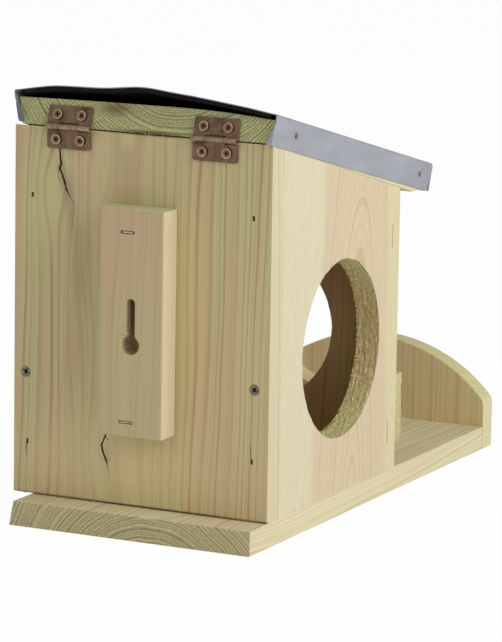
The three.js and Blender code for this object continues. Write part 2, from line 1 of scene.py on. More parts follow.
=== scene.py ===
# Squirrel feeder box: the finish of each board, the sheet lid, the hinges and every fastener.
# Sizes are in millimetres and are turned into metres with MM.
import json
import math

import bmesh
import bpy
from mathutils import Matrix, Vector, noise

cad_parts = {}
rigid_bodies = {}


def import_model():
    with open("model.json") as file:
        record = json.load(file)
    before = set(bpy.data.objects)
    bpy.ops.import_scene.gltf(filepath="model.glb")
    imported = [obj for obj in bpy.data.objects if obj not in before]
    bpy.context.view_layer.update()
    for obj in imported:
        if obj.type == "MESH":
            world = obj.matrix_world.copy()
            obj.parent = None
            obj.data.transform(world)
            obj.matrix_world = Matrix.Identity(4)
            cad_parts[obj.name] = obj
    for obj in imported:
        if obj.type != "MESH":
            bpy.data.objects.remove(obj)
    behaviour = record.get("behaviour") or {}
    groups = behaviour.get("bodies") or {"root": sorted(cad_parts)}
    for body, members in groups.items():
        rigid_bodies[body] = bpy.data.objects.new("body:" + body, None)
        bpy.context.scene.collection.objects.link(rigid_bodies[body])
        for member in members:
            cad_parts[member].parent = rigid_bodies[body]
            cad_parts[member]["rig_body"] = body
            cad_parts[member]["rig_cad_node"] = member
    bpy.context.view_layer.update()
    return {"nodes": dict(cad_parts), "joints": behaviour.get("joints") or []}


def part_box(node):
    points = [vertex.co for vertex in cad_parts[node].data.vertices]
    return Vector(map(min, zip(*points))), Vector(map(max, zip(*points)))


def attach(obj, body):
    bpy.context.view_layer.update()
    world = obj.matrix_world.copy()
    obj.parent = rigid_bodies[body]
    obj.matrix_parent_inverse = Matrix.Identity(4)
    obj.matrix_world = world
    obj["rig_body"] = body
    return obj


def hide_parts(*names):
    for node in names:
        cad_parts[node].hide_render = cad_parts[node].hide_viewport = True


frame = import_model()

MM = 0.001
NODES = frame["nodes"]
HINGE_AXIS = Vector(frame["joints"][0]["pos_m"])
ROOF_PITCH = math.radians(14.9)
LID_TURN = Matrix.Translation(HINGE_AXIS) @ Matrix.Rotation(-ROOF_PITCH, 4, "X")
LID_UNTURN = LID_TURN.inverted()

# Box: its corners are read off the frame, and the other sizes are the real ones
WALL = 16
BOX_SIDE = round(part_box("back_wall")[1].x / MM, 3)
BOX_REAR = round(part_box("back_wall")[0].y / MM, 3)
FLOOR_TOP = round(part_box("base_board")[1].z / MM, 3)
WALL_TOP = FLOOR_TOP + 236.2
SIDE_HOLE_RADIUS = 57.5
SIDE_HOLE_Y = BOX_REAR + 104
SIDE_HOLE_Z = FLOOR_TOP + 93.5
FRONT_HOLE_RADIUS = 50
FRONT_HOLE_Z = FLOOR_TOP + 91
ARRIS = 0.8
SEAM_ARRIS = 0.25
LEAST_ARRIS = 1.1
BATTEN_ARRIS = 1.1

# Lid cover, in the lid's own axes: rises above the board's top, hems above its underside, rear and front
LID_POINTS = [LID_UNTURN @ v.co / MM for v in NODES["roof_board"].data.vertices]
COVER_POINTS = [LID_UNTURN @ v.co / MM for v in NODES["roof_sheet"].data.vertices]
LID_BOTTOM = min(p.z for p in LID_POINTS)
LID_TOP = LID_BOTTOM + 16
COVER_SIDE = max(p.x for p in COVER_POINTS)
COVER_REAR = min(p.y for p in COVER_POINTS)
COVER_FRONT = max(p.y for p in COVER_POINTS)
COVER_THICKNESS = 0.6
COVER_BEND = 1.4
TAB_WIDTH = 4.5
TAB_CURL = 0.35
RIGHT_TAB_DROP = 4.4
LEFT_TAB_DROP = 0.6
FLANGE_LEAN = 5 / 16
RIGHT_FLARE = 0.05
FRONT_LEAN = 0.1
FRONT_EDGE_RISE = 4.6
RIDGE_X = -0.02 * COVER_SIDE
RIDGE_RISE = (12.1, 8.3)
EAVE_RISE = {1: (1.9, 6.3), -1: (4.5, 5.4)}
HEM_RISE = {1: (-1.5, 3.6), -1: (0.9, 3.2)}
CROWN_SHARES = {
    1: ((0.05, 0.05), (0.22, 0.27), (0.41, 0.48), (0.59, 0.67), (0.77, 0.82)),
    -1: ((0.34, 0.59), (0.67, 0.69)),
}

SHARP = math.radians(25)
SMOOTH = math.radians(35)


# Handling pieces

def pick(piece):
    bpy.ops.object.select_all(action="DESELECT")
    piece.select_set(True)
    bpy.context.view_layer.objects.active = piece


def edit(piece, kind="FACE"):
    """Opens a piece for editing with nothing selected."""
    pick(piece)
    bpy.ops.object.mode_set(mode="EDIT")
    bpy.ops.mesh.select_mode(type=kind)
    bpy.ops.mesh.select_all(action="DESELECT")
    return bmesh.from_edit_mesh(piece.data)


def close_edit():
    bpy.ops.object.mode_set(mode="OBJECT")


def copy_piece(source, name):
    piece = source.copy()
    piece.data = source.data.copy()
    piece.name = name
    piece.parent = None
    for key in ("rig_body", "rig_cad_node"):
        if key in piece:
            del piece[key]
    bpy.context.scene.collection.objects.link(piece)
    return piece


def copy_of(node):
    """A merged copy of a CAD node, with its flat faces whole again."""
    piece = copy_piece(NODES[node], f"{node}_finished")
    piece.data.materials.clear()
    pick(piece)
    bpy.ops.mesh.customdata_custom_splitnormals_clear()
    edit(piece)
    bpy.ops.mesh.select_all(action="SELECT")
    bpy.ops.mesh.remove_doubles(threshold=0.01 * MM)
    bpy.ops.mesh.dissolve_limited(angle_limit=math.radians(0.6))
    close_edit()
    return piece


def apply_modifier(piece, kind, **settings):
    pick(piece)
    modifier = piece.modifiers.new(kind.title(), kind)
    for setting, value in settings.items():
        setattr(modifier, setting, value)
    bpy.ops.object.modifier_apply(modifier=modifier.name)


def smooth(piece, angle=SMOOTH, weighted=True):
    pick(piece)
    bpy.ops.object.shade_smooth_by_angle(angle=angle)
    if weighted:
        apply_modifier(piece, "WEIGHTED_NORMAL", keep_sharp=True, weight=80)


def dress(piece, node, body, slot, *materials):
    """Gives a piece its materials, lets it ride on a body and stand for its CAD node."""
    for material in materials:
        piece.data.materials.append(material)
    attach(piece, body)
    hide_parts(node)


FASTENER_WORDS = ("screw", "brad", "nail", "staple")
FOOTPRINTS = [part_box(name) for name in NODES if any(word in name for word in FASTENER_WORDS)]


def near_fastener(point, margin=1.2 * MM):
    return any(
        all(low[i] - margin < point[i] < high[i] + margin for i in range(3))
        for low, high in FOOTPRINTS
    )


def bevel_edges(piece, wanted, width, segments=3):
    """Rounds the sharp edges whose middle the test accepts."""
    mesh = edit(piece, "EDGE")
    for edge in mesh.edges:
        if len(edge.link_faces) == 2 and edge.calc_face_angle() > SHARP:
            middle = (edge.verts[0].co + edge.verts[1].co) / 2
            edge.select_set(bool(wanted(middle, edge)))
    bmesh.update_edit_mesh(piece.data)
    bpy.ops.mesh.bevel(offset=width * MM, segments=segments, profile=0.5, clamp_overlap=False)
    close_edit()


def cut_up(piece, wanted, cuts):
    """Subdivides the faces that the test accepts, and leaves the piece open with them selected."""
    mesh = edit(piece)
    for face in mesh.faces:
        face.select_set(bool(wanted(face)))
    bmesh.update_edit_mesh(piece.data)
    bpy.ops.mesh.subdivide(number_cuts=cuts)
    return bmesh.from_edit_mesh(piece.data)


def roughen_bore(piece, axis, centre, radius, torn=0, tufts=1.0, cuts=9):
    """Gives a sawn bore its own material, the fine ridges of a hole saw and torn fibres.

    The rim is torn most at one end of the bore, 0 or 1, and a tuft there is tufts times its full height.
    """
    across = [i for i in range(3) if i != axis]
    radius *= MM

    def reach(point):
        return math.hypot(*(point[i] - centre[i] * MM for i in across))

    def on_bore(point):
        return abs(reach(point) - radius) < 0.8 * MM

    def bore_face(face):
        return on_bore(face.calc_center_median()) and abs(face.normal[axis]) < 0.1

    mesh = cut_up(piece, bore_face, cuts)
    bore_faces = [face for face in mesh.faces if face.select]
    bore_edges = {edge for face in bore_faces for edge in face.edges}
    for face in bore_faces:
        face.material_index = 1
    bpy.ops.mesh.select_mode(type="EDGE")
    for edge in bore_edges:
        run = edge.verts[0].co - edge.verts[1].co
        edge.select_set(abs(run[axis]) > 0.9 * run.length)
    bmesh.update_edit_mesh(piece.data)
    bpy.ops.mesh.subdivide(number_cuts=1)
    mesh = bmesh.from_edit_mesh(piece.data)
    low = min(v.co[axis] for v in mesh.verts)
    high = max(v.co[axis] for v in mesh.verts)
    for vertex in mesh.verts:
        point = vertex.co
        if not on_bore(point):
            continue
        away = [point[i] - centre[i] * MM for i in across]
        angle = math.atan2(away[1], away[0])
        depth = (point[axis] - low) / (high - low)
        along = angle * radius / MM
        rim = max(0, 1 - 4 * abs(depth - torn))
        far_rim = max(0, 1 - 9 * abs(1 - torn - depth))
        # Heights in millimetres
        wave = 0.25 * noise.noise(Vector((math.cos(angle) * 6, math.sin(angle) * 6, depth * 2)))
        fibre = 0.42 * noise.noise(Vector((along * 0.3, depth * 13, 3)))
        ridge = 0.35 * noise.noise(Vector((along * 0.06, depth * 19, 11)))
        tuft = 4.2 * tufts * rim * max(noise.noise(Vector((along * 0.9, 7, 5 + depth))) - 0.02, 0)
        worn = 0.35 * far_rim * noise.noise(Vector((along * 0.5, 2, 9)))
        grow = (wave + (0.4 + 0.6 * tufts) * (fibre + ridge) + worn - tuft) * MM
        scale = (radius + grow) / reach(point)
        for i, distance in zip(across, away):
            point[i] = centre[i] * MM + distance * scale
    bmesh.update_edit_mesh(piece.data)
    close_edit()


def roughen_end(piece, axis, sign, amount, cuts):
    """Gives a flat sawn end a rough face and an uneven outline."""
    mesh = cut_up(piece, lambda face: face.normal[axis] * sign > 0.9, cuts)
    touched = {v for face in mesh.faces if face.select for v in face.verts}
    for vertex in touched:
        vertex.co[axis] += amount * MM * noise.noise(vertex.co / MM * 0.45)
    bmesh.update_edit_mesh(piece.data)
    close_edit()


# Materials

def linear(red, green, blue):
    """A colour given as it looks on a screen, 0 to 255."""
    shares = [value / 255 for value in (red, green, blue)]
    return tuple(((s + 0.055) / 1.055) ** 2.4 if s > 0.04 else s / 12.92 for s in shares) + (1,)


class Finish:
    """One material whose nodes are added and joined one at a time."""

    def __init__(self, name):
        self.material = bpy.data.materials.new(name)
        self.material.use_nodes = True
        self.tree = self.material.node_tree
        self.shader = self.tree.nodes["Principled BSDF"]
        source = self.node("ShaderNodeTexCoord")
        self.object = source.outputs["Object"]
        self.facing = source.outputs["Normal"]

    def node(self, kind, **settings):
        made = self.tree.nodes.new(kind)
        for setting, value in settings.items():
            setattr(made, setting, value)
        return made

    def join(self, value, socket):
        if isinstance(value, bpy.types.NodeSocket):
            self.tree.links.new(value, socket)
        else:
            socket.default_value = value

    def math(self, operation, a, b=0.0, clamp=False):
        made = self.node("ShaderNodeMath", operation=operation, use_clamp=clamp)
        self.join(a, made.inputs[0])
        self.join(b, made.inputs[1])
        return made.outputs[0]

    def times(self, a, b):
        return self.math("MULTIPLY", a, b)

    def plus(self, a, b, clamp=False):
        return self.math("ADD", a, b, clamp)

    def vector(self, operation, a, b=(0, 0, 0)):
        made = self.node("ShaderNodeVectorMath", operation=operation)
        self.join(a, made.inputs[0])
        self.join(b, made.inputs[1])
        return made.outputs["Value" if operation in ("LENGTH", "DOT_PRODUCT") else "Vector"]

    def dot(self, a, b):
        return self.vector("DOT_PRODUCT", a, b)

    def scaled(self, vector, scale):
        made = self.node("ShaderNodeVectorMath", operation="SCALE")
        self.join(vector, made.inputs[0])
        self.join(scale, made.inputs["Scale"])
        return made.outputs["Vector"]

    def mapped(self, vector, location=(0, 0, 0), rotation=(0, 0, 0), scale=(1, 1, 1)):
        made = self.node("ShaderNodeMapping")
        self.join(vector, made.inputs["Vector"])
        made.inputs["Location"].default_value = location
        made.inputs["Rotation"].default_value = rotation
        made.inputs["Scale"].default_value = scale
        return made.outputs["Vector"]

    def noise(self, vector, scale=1.0, detail=2.0, rough=0.5, color=False):
        made = self.node("ShaderNodeTexNoise")
        self.join(vector, made.inputs["Vector"])
        made.inputs["Scale"].default_value = scale
        made.inputs["Detail"].default_value = detail
        made.inputs["Roughness"].default_value = rough
        return made.outputs["Color" if color else "Fac"]

    def line_noise(self, value, scale=1.0, detail=1.0):
        made = self.node("ShaderNodeTexNoise", noise_dimensions="1D")
        self.join(value, made.inputs["W"])
        made.inputs["Scale"].default_value = scale
        made.inputs["Detail"].default_value = detail
        return made.outputs["Fac"]

    def ramp(self, factor, *stops, ease="LINEAR"):
        """stops are (position, grey) or (position, colour)."""
        made = self.node("ShaderNodeValToRGB")
        made.color_ramp.interpolation = ease
        elements = made.color_ramp.elements
        while len(elements) < len(stops):
            elements.new(1)
        for element, (position, value) in zip(elements, stops):
            element.position = position
            element.color = value if isinstance(value, tuple) else (value, value, value, 1)
        self.join(factor, made.inputs[0])
        return made.outputs["Color"]

    def mix(self, factor, a, b, mode="MIX"):
        made = self.node("ShaderNodeMix", data_type="RGBA", blend_type=mode)
        self.join(factor, made.inputs[0])
        self.join(a, made.inputs[6])
        self.join(b, made.inputs[7])
        return made.outputs[2]

    def toned(self, tone, factor, *stops):
        """A tone made darker or lighter by a ramp of greys."""
        return self.mix(1.0, tone, self.ramp(factor, *stops), "MULTIPLY")

    def color(self, value):
        self.join(value, self.shader.inputs["Base Color"])

    def gloss(self, roughness, metallic=0.0, specular=0.5):
        self.join(roughness, self.shader.inputs["Roughness"])
        self.shader.inputs["Metallic"].default_value = metallic
        self.shader.inputs["Specular IOR Level"].default_value = specular

    def zone_share(self, along, edge, wander):
        """0 before an edge, in millimetres along a direction, and 1 past it, with a soft uneven step."""
        reached = self.dot(self.scaled(self.object, 1 / MM), along)
        past = self.plus(self.math("SUBTRACT", reached, edge), wander)
        return self.plus(self.times(past, 1 / ZONE_STEP), 0.5, clamp=True)

    def bump(self, height, distance, strength=1.0):
        made = self.node("ShaderNodeBump")
        self.join(height, made.inputs["Height"])
        made.inputs["Distance"].default_value = distance * MM
        made.inputs["Strength"].default_value = strength
        self.join(made.outputs["Normal"], self.shader.inputs["Normal"])


GREEN_PINE = linear(208, 201, 148)
PINK_PINE = linear(213, 193, 147)
LATE_PINE = linear(180, 138, 106)
END_PINE = linear(202, 200, 146)
END_LATE_PINE = linear(132, 116, 78)
BLEACHED_PINE = linear(219, 209, 178)
ZONE_STEP = 6.25
ZONE_WANDER = 14


def spot(wood, place, x, z, wide, tall):
    """A soft round share, 1 at x, z on an upright board and falling to nothing past its size."""
    from_middle = wood.vector("SUBTRACT", place, (x * MM, 0, z * MM))
    away = wood.vector("MULTIPLY", from_middle, (1 / wide / MM, 0, 1 / tall / MM))
    return wood.math("POWER", math.e, wood.times(wood.dot(away, away), -1.0)), away


def bend_round_knot(wood, place, x, z, wide, tall, push):
    """Pushes the grain sideways round a knot at x, z."""
    fall, away = spot(wood, place, x, z, wide, tall)
    side = wood.dot(away, (1, 0, 0))
    made = wood.node("ShaderNodeCombineXYZ")
    wood.join(wood.times(wood.times(fall, side), -push * MM), made.inputs[0])
    return wood.vector("ADD", place, made.outputs[0])


def cloudy(wood, place, start, across, along, detail, color=False):
    """Noise whose patches are so many millimetres across the grain and along it."""
    shrunk = wood.mapped(place, start, scale=(1 / across, 1 / across, 1 / along))
    return wood.noise(shrunk, detail=detail, color=color)


def count_rings(wood, place, ring, warp, seed):
    """The number of rings from the pith out, which wanders as real rings do."""
    middle = (0.5, 0.5, 0.5)
    broad = wood.vector("SUBTRACT", cloudy(wood, place, (seed, 0, 0), 55, 230, 1.5, color=True), middle)
    fine = wood.vector("SUBTRACT", cloudy(wood, place, (0, seed, 0), 14, 70, 1, color=True), middle)
    shift = wood.vector("ADD", wood.scaled(broad, warp * 2), wood.scaled(fine, 1.6))
    bent = wood.vector("MULTIPLY", wood.vector("ADD", place, shift), (1, 1, 0))
    reach = wood.math("DIVIDE", wood.vector("LENGTH", bent), ring)
    uneven = wood.times(wood.line_noise(reach, 0.31), 2.2)
    return wood.plus(wood.plus(reach, uneven), seed)


def end_grain_tone(wood, rings, saw, ring, spacing, strength, light, dark, rough):
    """Sawn end grain: dark lines a spacing apart, in the rough that the saw left."""
    share = wood.math("FRACT", wood.math("DIVIDE", wood.times(rings, ring), spacing))
    line = wood.ramp(share, (0, 0.5), (0.1, 0.05), (0.45, 0.1), (0.82, 1.0), (1.0, 0.6))
    tone = wood.mix(wood.times(line, strength), light, dark)
    return wood.toned(tone, saw, (0.3, 1 - 0.3 * rough), (0.7, 1 + 0.2 * rough))


def pine(name, grain, pith, ring=4.5, late=0.5, early=GREEN_PINE, blush=PINK_PINE, dark=LATE_PINE,
         blush_share=0.5, patchy=0.5, warp=7.0, seed=0.0, knots=(), stains_and_shade=(), end=None, end_ring=0.6,
         end_light=END_PINE, end_dark=END_LATE_PINE, end_rough=0.5, zone=None, past_zone=None,
         bleach=0.6, fuzz=0):
    """Solid softwood: rings round a pith line that runs along the grain, in the board's own place.

    Late wood is dark over early wood, which blushes in patches or between the two edges of a zone.
    Side faces are bleached, faces across the grain show end grain, and stains and painted shade lie on rear
    faces.
    """
    wood = Finish(name)
    grain = Vector(grain).normalized()
    turn = grain.rotation_difference(Vector((0, 0, 1)))
    place = wood.object
    for knot in knots:
        place = bend_round_knot(wood, place, *knot)
    place = wood.mapped(place, -(turn @ Vector(pith)), turn.to_euler(), (1 / MM,) * 3)
    rings = count_rings(wood, place, ring, warp, seed)

    # Early wood
    cloud = cloudy(wood, place, (seed, seed, 0), 26, 170, 1)
    blush_band = wood.plus(wood.times(wood.line_noise(rings, 0.52), patchy), wood.times(cloud, 1 - patchy))
    middle = 1 - blush_share
    blushed = wood.ramp(blush_band, (middle - 0.14, 0), (middle + 0.14, 1), ease="EASE")
    if zone:
        wander = wood.times(wood.math("SUBTRACT", cloud, 0.5), ZONE_WANDER)
        inside = [wood.zone_share(along, edge, wander) for along, edge in zone]
        blushed = wood.times(*inside)
    tone = wood.mix(blushed, early, blush)
    if past_zone:
        tone = wood.mix(inside[1], past_zone, tone)

    # Late wood: a line at the end of each ring, and hair lines between
    share = wood.math("FRACT", rings)
    late_line = wood.ramp(share, (0, 0.5), (0.06, 0.1), (0.12, 0.0), (0.62, 0.1), (0.84, 1.0), (0.96, 0.9))
    ring_tone = wood.ramp(wood.line_noise(wood.math("FLOOR", rings), 0.77), (0.35, 0.15), (0.66, 1.0))
    hair = wood.ramp(wood.line_noise(wood.times(rings, ring), 0.9, detail=2), (0.52, 0), (0.66, 1))
    amount = wood.times(wood.times(late_line, ring_tone), late)
    amount = wood.plus(amount, wood.times(hair, late * 0.35), clamp=True)
    if past_zone:
        amount = wood.times(amount, wood.plus(wood.times(blushed, 0.7), 0.3))
    tone = wood.mix(amount, tone, dark)
    streaks = wood.noise(wood.mapped(place, (0, 0, seed), scale=(0.7, 0.7, 0.006)), detail=2)
    tone = wood.toned(tone, streaks, (0.3, 0.955), (0.7, 1.035))

    # Side faces and end grain
    sideways = wood.math("ABSOLUTE", wood.dot(wood.facing, (1, 0, 0)))
    tone = wood.mix(wood.times(wood.ramp(sideways, (0.6, 0), (0.9, 1)), bleach), tone, BLEACHED_PINE)
    across = wood.math("ABSOLUTE", wood.dot(wood.facing, tuple(grain)))
    at_end = wood.ramp(across, (0.45, 0), (0.85, 1))
    saw = wood.noise(wood.mapped(place, rotation=(0, 0, 0.7), scale=(1.4, 0.55, 0.5)), detail=3, rough=0.7)
    end_tone = end_grain_tone(wood, rings, saw, ring, end or ring, end_ring, end_light, end_dark, end_rough)
    tone = wood.mix(at_end, tone, end_tone)

    # Stains, painted shade and loose fibres
    at_rear = wood.ramp(wood.dot(wood.facing, (0, -1, 0)), (0.4, 0), (0.7, 1))
    for x, z, wide, tall, color, strength in stains_and_shade:
        fall, _ = spot(wood, wood.object, x, z, wide, tall)
        tone = wood.mix(wood.times(at_rear, wood.times(fall, strength)), tone, color)
    if fuzz:
        strokes = wood.noise(wood.mapped(wood.object, scale=(900, 900, 170)), detail=2, rough=0.6)
        tone = wood.toned(tone, strokes, (0.36, 1 - 0.3 * fuzz), (0.64, 1 + 0.28 * fuzz))
    wood.color(tone)

    pores = wood.noise(wood.mapped(place, scale=(2.6, 2.6, 0.035)), detail=3, rough=0.65)
    face_height = wood.plus(wood.times(pores, 0.6), wood.times(late_line, 0.2))
    wood.bump(wood.mix(at_end, face_height, wood.times(saw, 1.6)), 0.25, 0.8)
    wood.gloss(wood.ramp(pores, (0.3, 0.74), (0.7, 0.62)), specular=0.3)
    return wood.material


def speckled(name, light, dark, scale, roughness, metallic, bump, specular=0.5, patch=None):
    """A metal or felt whose colour and gloss vary in small patches."""
    skin = Finish(name)
    broad = skin.noise(skin.object, scale, detail=4, rough=0.6)
    fine = skin.noise(skin.object, scale * 7, detail=3, rough=0.6)
    both = skin.plus(skin.times(broad, 0.7), skin.times(fine, 0.3))
    tone = skin.ramp(both, (0.36, dark), (0.62, light))
    if patch:
        where = skin.noise(skin.mapped(skin.object, (3, 1, 2)), scale * 0.55, detail=1)
        tone = skin.mix(skin.ramp(where, (0.54, 0), (0.66, 0.75)), tone, patch)
    skin.color(tone)
    skin.gloss(skin.ramp(broad, (0.3, roughness + 0.12), (0.7, roughness - 0.08)), metallic, specular)
    skin.bump(fine, bump, 0.6)
    return skin.material


def zinc(name, light, dark):
    """Rolled sheet with clouds and specks, and painted shade on its rear-facing faces at the left corner."""
    skin = Finish(name)
    rolled = skin.noise(skin.mapped(skin.object, scale=(160, 9, 160)), detail=3)
    cloud = skin.noise(skin.object, 22, detail=4, rough=0.62)
    speck = skin.noise(skin.object, 420, detail=2)
    tone = skin.ramp(cloud, (0.3, dark), (0.7, light))
    tone = skin.toned(tone, rolled, (0.3, 0.95), (0.7, 1.04))
    tone = skin.toned(tone, speck, (0.3, 0.95), (0.7, 1.03))
    to_rear = skin.ramp(skin.dot(skin.facing, (0, -1, 0)), (0.6, 0), (0.9, 1))
    at_left = skin.ramp(skin.dot(skin.object, (-1, 0, 0)), (0.05, 0), (0.07, 0.62))
    tone = skin.mix(skin.times(to_rear, at_left), tone, ZINC_PAINTED_SHADE)
    skin.color(tone)
    skin.gloss(skin.ramp(cloud, (0.3, 0.58), (0.7, 0.46)), 0.25, 0.4)
    skin.bump(skin.plus(skin.times(cloud, 0.8), skin.times(speck, 0.05)), 0.5, 0.35)
    return skin.material


# Painted shade for the sheet's rear-facing faces at the left
ZINC_PAINTED_SHADE = linear(70, 70, 70)
SLOPE = (0, math.cos(ROOF_PITCH), -math.sin(ROOF_PITCH))
BLACK = speckled("roofing_felt_black", linear(30, 28, 24), linear(14, 12, 10), 300, 0.85, 0, 0.5, 0.2)
ZINC = zinc("zinc_sheet_weathered", linear(172, 174, 181), linear(156, 158, 167))
# A much lighter copy of the zinc for the sheet's cut rims: painted highlight along its edges
ZINC_RIM_PAINTED_HIGHLIGHT = zinc("zinc_sheet_rim_painted_highlight", linear(224, 224, 228), linear(196, 198, 206))
HINGE = speckled("coppered_steel_hinge", linear(136, 110, 86), linear(92, 70, 52), 150, 0.44, 0.5, 0.08,
                 patch=linear(134, 94, 74))
# A lighter copy of the hinge metal for the knuckles: painted highlight along the barrel
BARREL_PAINTED_HIGHLIGHT = speckled("coppered_steel_barrel_painted_highlight", linear(176, 150, 122), linear(126, 100, 76), 200, 0.36, 0.5, 0.06)
SCREW_RING = speckled("coppered_screw_head", linear(212, 186, 150), linear(152, 122, 92), 400, 0.36, 0.5,
                      0.05)
# Painted shade on the side of the hinge screws' heads
SCREW_SIDE_PAINTED_SHADE = speckled("coppered_screw_edge", linear(78, 54, 38), linear(50, 34, 24), 500, 0.55, 0.3, 0.05)
SCREW_DISH = speckled("coppered_screw_dish", linear(150, 110, 76), linear(104, 72, 48), 500, 0.5, 0.4, 0.05)
# Painted shade in the hinge screws' recesses
SCREW_PIT_PAINTED_SHADE = speckled("coppered_screw_recess", linear(66, 44, 30), linear(38, 26, 18), 600, 0.7, 0.2, 0.05)
DARK_STEEL = speckled("dark_screw_head", linear(158, 148, 124), linear(106, 98, 80), 500, 0.5, 0.35, 0.05)
# Painted shade in the timber screws' recesses
DARK_PIT_PAINTED_SHADE = speckled("dark_screw_recess", linear(50, 48, 44), linear(26, 25, 24), 600, 0.6, 0.3, 0.05)
BRAD_HEAD = speckled("brad_head_dark", linear(84, 66, 44), linear(48, 36, 24), 600, 0.6, 0.3, 0.05)
STAPLE = speckled("staple_wire", linear(226, 212, 180), linear(130, 108, 78), 500, 0.4, 0.4, 0.04)
PALE_STAPLE = speckled("staple_wire_pale", linear(214, 204, 156), linear(190, 178, 128), 500, 0.45, 0.2, 0.04)
COPPER = speckled("copper_nail_head", linear(140, 114, 98), linear(100, 80, 68), 500, 0.45, 0.4, 0.05)
SPLIT_PAINTED_SHADE = speckled("split_shade", linear(130, 92, 62), linear(72, 50, 34), 400, 0.8, 0, 0.2, 0.2)
FIBRE = speckled("torn_fibre_pine", linear(236, 226, 164), linear(212, 200, 138), 300, 0.85, 0, 0.1, 0.2)
GROOVE_DARK = speckled("staple_groove", linear(112, 90, 64), linear(78, 62, 44), 400, 0.8, 0, 0.2, 0.2)

# Painted shade in the slot gaps beside the hinge knuckles, laid on the back wall and on the lid board's rear
# end
HINGE_SHADE = linear(66, 50, 36)
HINGE_BOXES = [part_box(f"hinge_{side}_pin") for side in ("left", "right")]
HINGE_MIDDLES = [(low.x + high.x) / 2 / MM for low, high in HINGE_BOXES]
KNOTS = ((-60, 212, 11, 26, 12), (-24, 50, 11, 20, 11))
MAUVE = linear(168, 142, 122)
SPLIT_BROWN = linear(132, 108, 84)
# Painted shade for the seams between parts
SEAM_SHADE = linear(66, 44, 20)
# Stains and painted shade on rear faces: x, z, width, height, colour and strength of each
STAINS_AND_SHADE = (
    (-57.2, 227, 2.8, 5, SPLIT_BROWN, 0.5),
    (-55.4, 219.5, 3, 4.5, SPLIT_BROWN, 0.5),
    (-53.0, 212.5, 3, 5, SPLIT_BROWN, 0.5),
    (-22.6, 44, 1.3, 3, SPLIT_BROWN, 0.6),
    (-52, 210, 3.6, 12, MAUVE, 0.8),
    (-49, 197, 2.4, 15, MAUVE, 0.6),
    (-22, 48, 2.6, 8, MAUVE, 0.5),
    # A darker olive patch beside the batten's left side: painted shade of the batten
    (-42, 165, 9, 34, linear(170, 152, 106), 0.55),
    (-46, 108, 9, 30, linear(196, 160, 122), 0.4),
    (0, 40, 70, 30, linear(232, 208, 154), 0.45),
    (-62, 42, 26, 26, linear(226, 208, 160), 0.4),
    (34, 150, 12, 70, linear(226, 202, 138), 0.35),
    (-72, 186, 9, 30, linear(204, 200, 140), 0.45),
    # Painted shade in the seams at the wall's top, under the lid, and at its foot
    (6, WALL_TOP - 0.4, 24, 0.9, SEAM_SHADE, 0.9),
    (10, FLOOR_TOP + 0.7, 150, 0.7, SEAM_SHADE, 0.9),
    (-66, 205, 14, 36, linear(206, 207, 144), 0.4),
    (76, 110, 12, 90, linear(230, 208, 160), 0.3),
) + tuple((x, HINGE_AXIS.z / MM - 3, 13, 2.2, HINGE_SHADE, 0.9) for x in HINGE_MIDDLES)
PALE = {"early": linear(218, 210, 178), "blush": linear(215, 198, 165), "dark": linear(194, 164, 132)}
SHADE = {"early": linear(184, 162, 112), "blush": linear(184, 148, 106), "dark": linear(142, 104, 70)}
PLAIN = {"early": linear(212, 205, 152), "blush": linear(206, 184, 140), "dark": linear(180, 146, 108)}
BACK_WOOD = pine("back_wall_pine", (0.02, 0, 1), (-12, -92, 130), 4.2, 0.85, seed=3.1, patchy=0.4,
                 knots=KNOTS, stains_and_shade=STAINS_AND_SHADE)
RIGHT_WOOD = pine("right_side_pine", (-0.13, 0.03, 1), (62, -38, 130), 3.0, 0.52, seed=7.4, warp=4, bleach=0,
                  zone=(((0, 1, -0.062), -103), ((0, -1, 0), -6)), past_zone=linear(218, 208, 166), **PALE)
LEFT_WOOD = pine("left_side_pine", (0.03, 0, 1), (-62, -60, 120), 4.6, 0.5, seed=11.7, patchy=0.2, bleach=0,
                 early=linear(212, 196, 156), blush=linear(212, 182, 146), dark=linear(176, 138, 104))
BORE_WOOD = pine("sawn_bore_pine", (0, 0, 1), (52, -30, 120), 3.4, 0.4, seed=5.2, end=1.6, end_ring=0.25,
                 early=linear(218, 202, 144), blush=linear(222, 195, 146), dark=linear(172, 138, 96),
                 end_light=linear(220, 212, 150), end_dark=linear(174, 160, 108), end_rough=0.7,
                 bleach=0, fuzz=0.8)
FRONT_WOOD = pine("front_wall_pine", (0.02, 0, 1), (14, -30, 120), 4.0, 0.4, seed=15.2, patchy=0.1, **PLAIN)
# The front wall's pine again in the SHADE colours: painted shade for its face inside the box and for the
# keyhole's inside.
PAINTED_SHADE_PINE = pine("pine_painted_shade", (0.02, 0, 1), (14, -30, 120), 4.0, 0.5, seed=15.2, patchy=0.1, **SHADE)
BASE_WOOD = pine("base_board_pine", (0.015, 1, 0), (25, 0, -42), 2.1, 0.65, seed=19.3, patchy=0.45,
                 bleach=0.35, end=1.9, end_ring=0.68, end_rough=0.9,
                 early=linear(224, 217, 175), blush=linear(223, 208, 169), dark=linear(182, 156, 122),
                 end_light=linear(214, 204, 154), end_dark=linear(128, 112, 76))
END_WOOD = pine("end_board_pine", (0.01, 0, 1), (-140, 230, 30), 4.9, 0.34, seed=23.8, warp=2, end_ring=0.2,
                zone=(((1, 0, 0), -160), ((-1, 0, 0), -81)), end=3, end_light=linear(216, 212, 156),
                early=linear(218, 208, 152), blush=linear(227, 207, 159), dark=linear(182, 140, 102))
REST_WOOD = pine("jar_rest_pine", (1, 0.02, 0), (0, 140, 40), 3.0, 0.5, seed=27.9, end_ring=0.35,
                 end_light=linear(219, 211, 161), end_rough=0.9)
